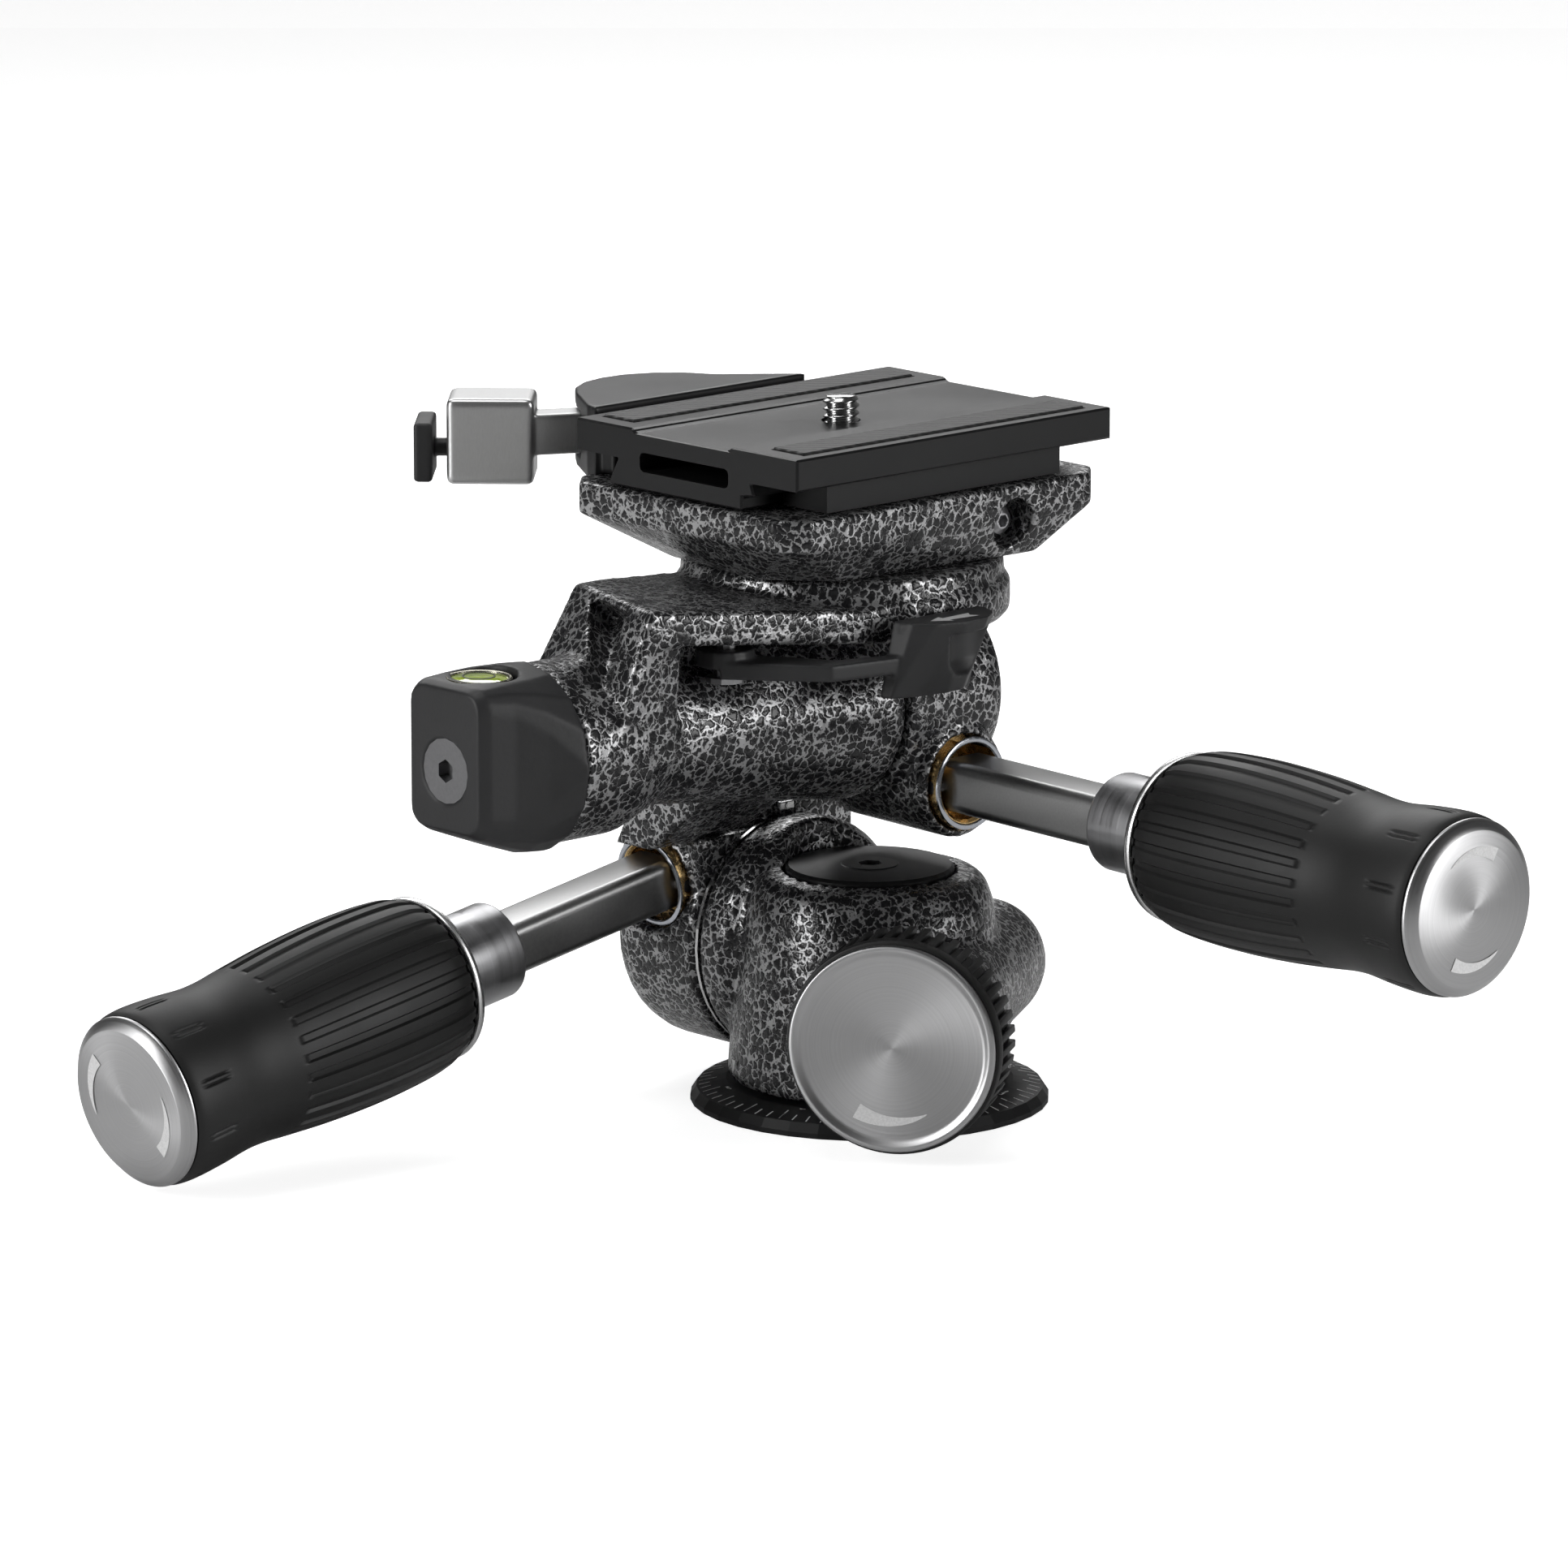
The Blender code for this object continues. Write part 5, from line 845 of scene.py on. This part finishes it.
# Swivel lever: a die cast arm with a scooped thumb tab, painted satin black.
# It turns on a pin under the barrel's plate and frees the rotation of the platform.
lever_paint = moulded("lever_paint", (0.02, 0.02, 0.021), 0.48, 1300.0, 0.2)
block_low = [(-19, -22.2), (-18.5, -24.5), (-14, -26.3), (-8, -27.2), (-4, -26.8), (-1.5, -25),
             (-1, -22.2)]
block_high = [(-16, -22.2), (-15, -26.3), (-12, -29), (-7, -30.7), (-1.5, -30.3), (2.5, -27.5),
              (4, -23.5), (4, -22.2)]
thumb_recess = turned("thumb_recess", [
    (0, 86.2), (8, 86.2), (8, 81), (7.2, 79), (5.5, 78.2), (0, 78.2)],
    Matrix.Translation(spot(-3, -34, 0)), 64)
tab_corner = loft("tab_corner", (73, [(-1, -28), (14, -28), (14, -19), (-1, -19)]),
                  (92, [(4, -28), (14, -28), (14, -19), (4, -19)]))
rebuilt("swivel_lever_cast", "swivel_lever", "swivel_lever", 0.0003, 7, lever_paint, merged(
    carved(cad_copy("swivel_lever"), tab_corner),
    carved(loft("lever_block", (75.9, block_low), (88.5, block_high)), thumb_recess)))
arrow = bpy.data.meshes.new("lever_arrow")
arrow.from_pydata([spot(x, y, 88.55) for x, y in (
    (-11.5, -26.6), (-8.2, -28.9), (-8.2, -27.9), (-2.0, -28.6), (-2.9, -27.2), (-2.0, -25.9),
    (-8.2, -26.2), (-8.2, -25.1))], [], [(0, 1, 2, 6, 7), (2, 3, 4, 5, 6)])
shown("lever_arrow", arrow, silver_mark, "swivel_lever")

# Platform clamp: a round backed housing with two dovetail jaws, all black anodised.
# Its silver lever swings a pin against the sliding jaw, and a black catch keeps it shut.
rebuilt("clamp_housing", "clamp_body", "platform", 0.0004, 5, anodised("clamp_black"))
dress("fixed_jaw", black_anodised)
dress("moving_jaw", black_anodised)
satin, tree, shader = surface("lever_satin", (0.55, 0.55, 0.55), 0.36, 1.0)
lines = wire(tree, "ShaderNodeMapping", {
    "Vector": wire(tree, "ShaderNodeTexCoord").outputs["Object"], "Scale": (1.0, 1.0, 0.3)})
lines = wire(tree, "ShaderNodeTexNoise", {
    "Vector": lines.outputs["Vector"], "Scale": 3500.0, "Detail": 4.0})
tone = ramp(tree, lines.outputs["Fac"], ((0.3, 0.53), (0.7, 0.57)))
tree.links.new(tone.outputs["Color"], shader.inputs["Base Color"])
gloss = ramp(tree, lines.outputs["Fac"], ((0.3, 0.34), (0.7, 0.38)))
tree.links.new(gloss.outputs["Color"], shader.inputs["Roughness"])
rebuilt("clamp_lever_satin", "clamp_lever", "clamp_lever", 0.0003, 5, satin)
rebuilt("catch_moulding", "safety_catch", "safety_catch", 0.0003, 4, cap_plastic)

# Quick release plate: an extruded dovetail plate, black anodised, with two ribbed rubber strips.
# The camera screw stands in its middle and is turned from below with a coin.
dress("qr_plate", anodised("plate_black", (0.009, 0.009, 0.0095), 0.34))
ribbed, tree, shader = surface("ribbed_rubber", (0.011, 0.011, 0.011), 0.55)
where = wire(tree, "ShaderNodeTexCoord").outputs["Object"]
ribs = wire(tree, "ShaderNodeTexWave", {
    "Vector": where, "Scale": 250.0, "Distortion": 0.15, "Detail": 1.0},
    wave_type="BANDS", bands_direction="DIAGONAL")
bump = wire(tree, "ShaderNodeBump", {
    "Strength": 0.8, "Distance": 0.0002, "Height": ribs.outputs["Fac"]})
tree.links.new(bump.outputs["Normal"], shader.inputs["Normal"])
# Painted shade: the rubber's colour follows the ribs, darker in the grooves between them and lighter
# on their crests.
tone = ramp(tree, ribs.outputs["Fac"], ((0.2, 0.007), (0.8, 0.017)))
tree.links.new(tone.outputs["Color"], shader.inputs["Base Color"])
dress("rubber_strip_front", ribbed)
dress("rubber_strip_back", ribbed)


def threaded(name, radius, pitch, depth, low, high, place, around=48, per_turn=14):
    """A screw's threaded end: each ridge climbs one pitch a turn, and the tip is chamfered."""
    bm = bmesh.new()
    steps = int((high - low) / pitch * per_turn)
    rows = []
    for j in range(steps + 1):
        height = low + (high - low) * j / steps
        row = []
        for i in range(around):
            phase = (height / pitch - i / around) % 1
            r = radius - depth * min(1, max(0, abs(phase - 0.5) * 2.6 - 0.15))
            r = min(r, radius - 0.7 + (high - height))
            angle = 2 * pi * i / around
            row.append(bm.verts.new(place @ Vector((
                r * MM * cos(angle), r * MM * sin(angle), height * MM))))
        rows.append(row)
    skin(bm, rows)
    bm.faces.new(rows[0])
    bm.faces.new(rows[-1])
    bmesh.ops.recalc_face_normals(bm, faces=bm.faces)
    return ended(bm, name, 50)


bright_steel = machined("bright_steel", (0.55, 0.55, 0.55), 0.2, scale=1800.0)
screw_centre = Matrix.Translation(spot(-2.3, 4.9, 0))
thread = threaded("camera_thread", 3.1, 1.27, 0.62, 113.95, 121.55, screw_centre)
head = turned("camera_screw_head", [
    (0, 113.9), (6.6, 113.9), (7.0, 113.5), (7.0, 111.9), (6.6, 111.5), (0, 111.5)], screw_centre)
whole = merged(thread, head, name="camera_screw_steel")
whole.shade_smooth()
whole.set_sharp_from_angle(angle=radians(50))
shown("camera_screw_steel", whole, bright_steel, "camera_screw", "camera_screw")

# Small trims: the silver index of the side tilt, and its thin washer between the two castings.
# Both are turned or milled aluminium, pressed in before the castings are joined.
dress("roll_index", machined("index_metal", (0.66, 0.66, 0.66), 0.26))
dress("roll_washer", machined("washer_metal", (0.6, 0.6, 0.6), 0.24))
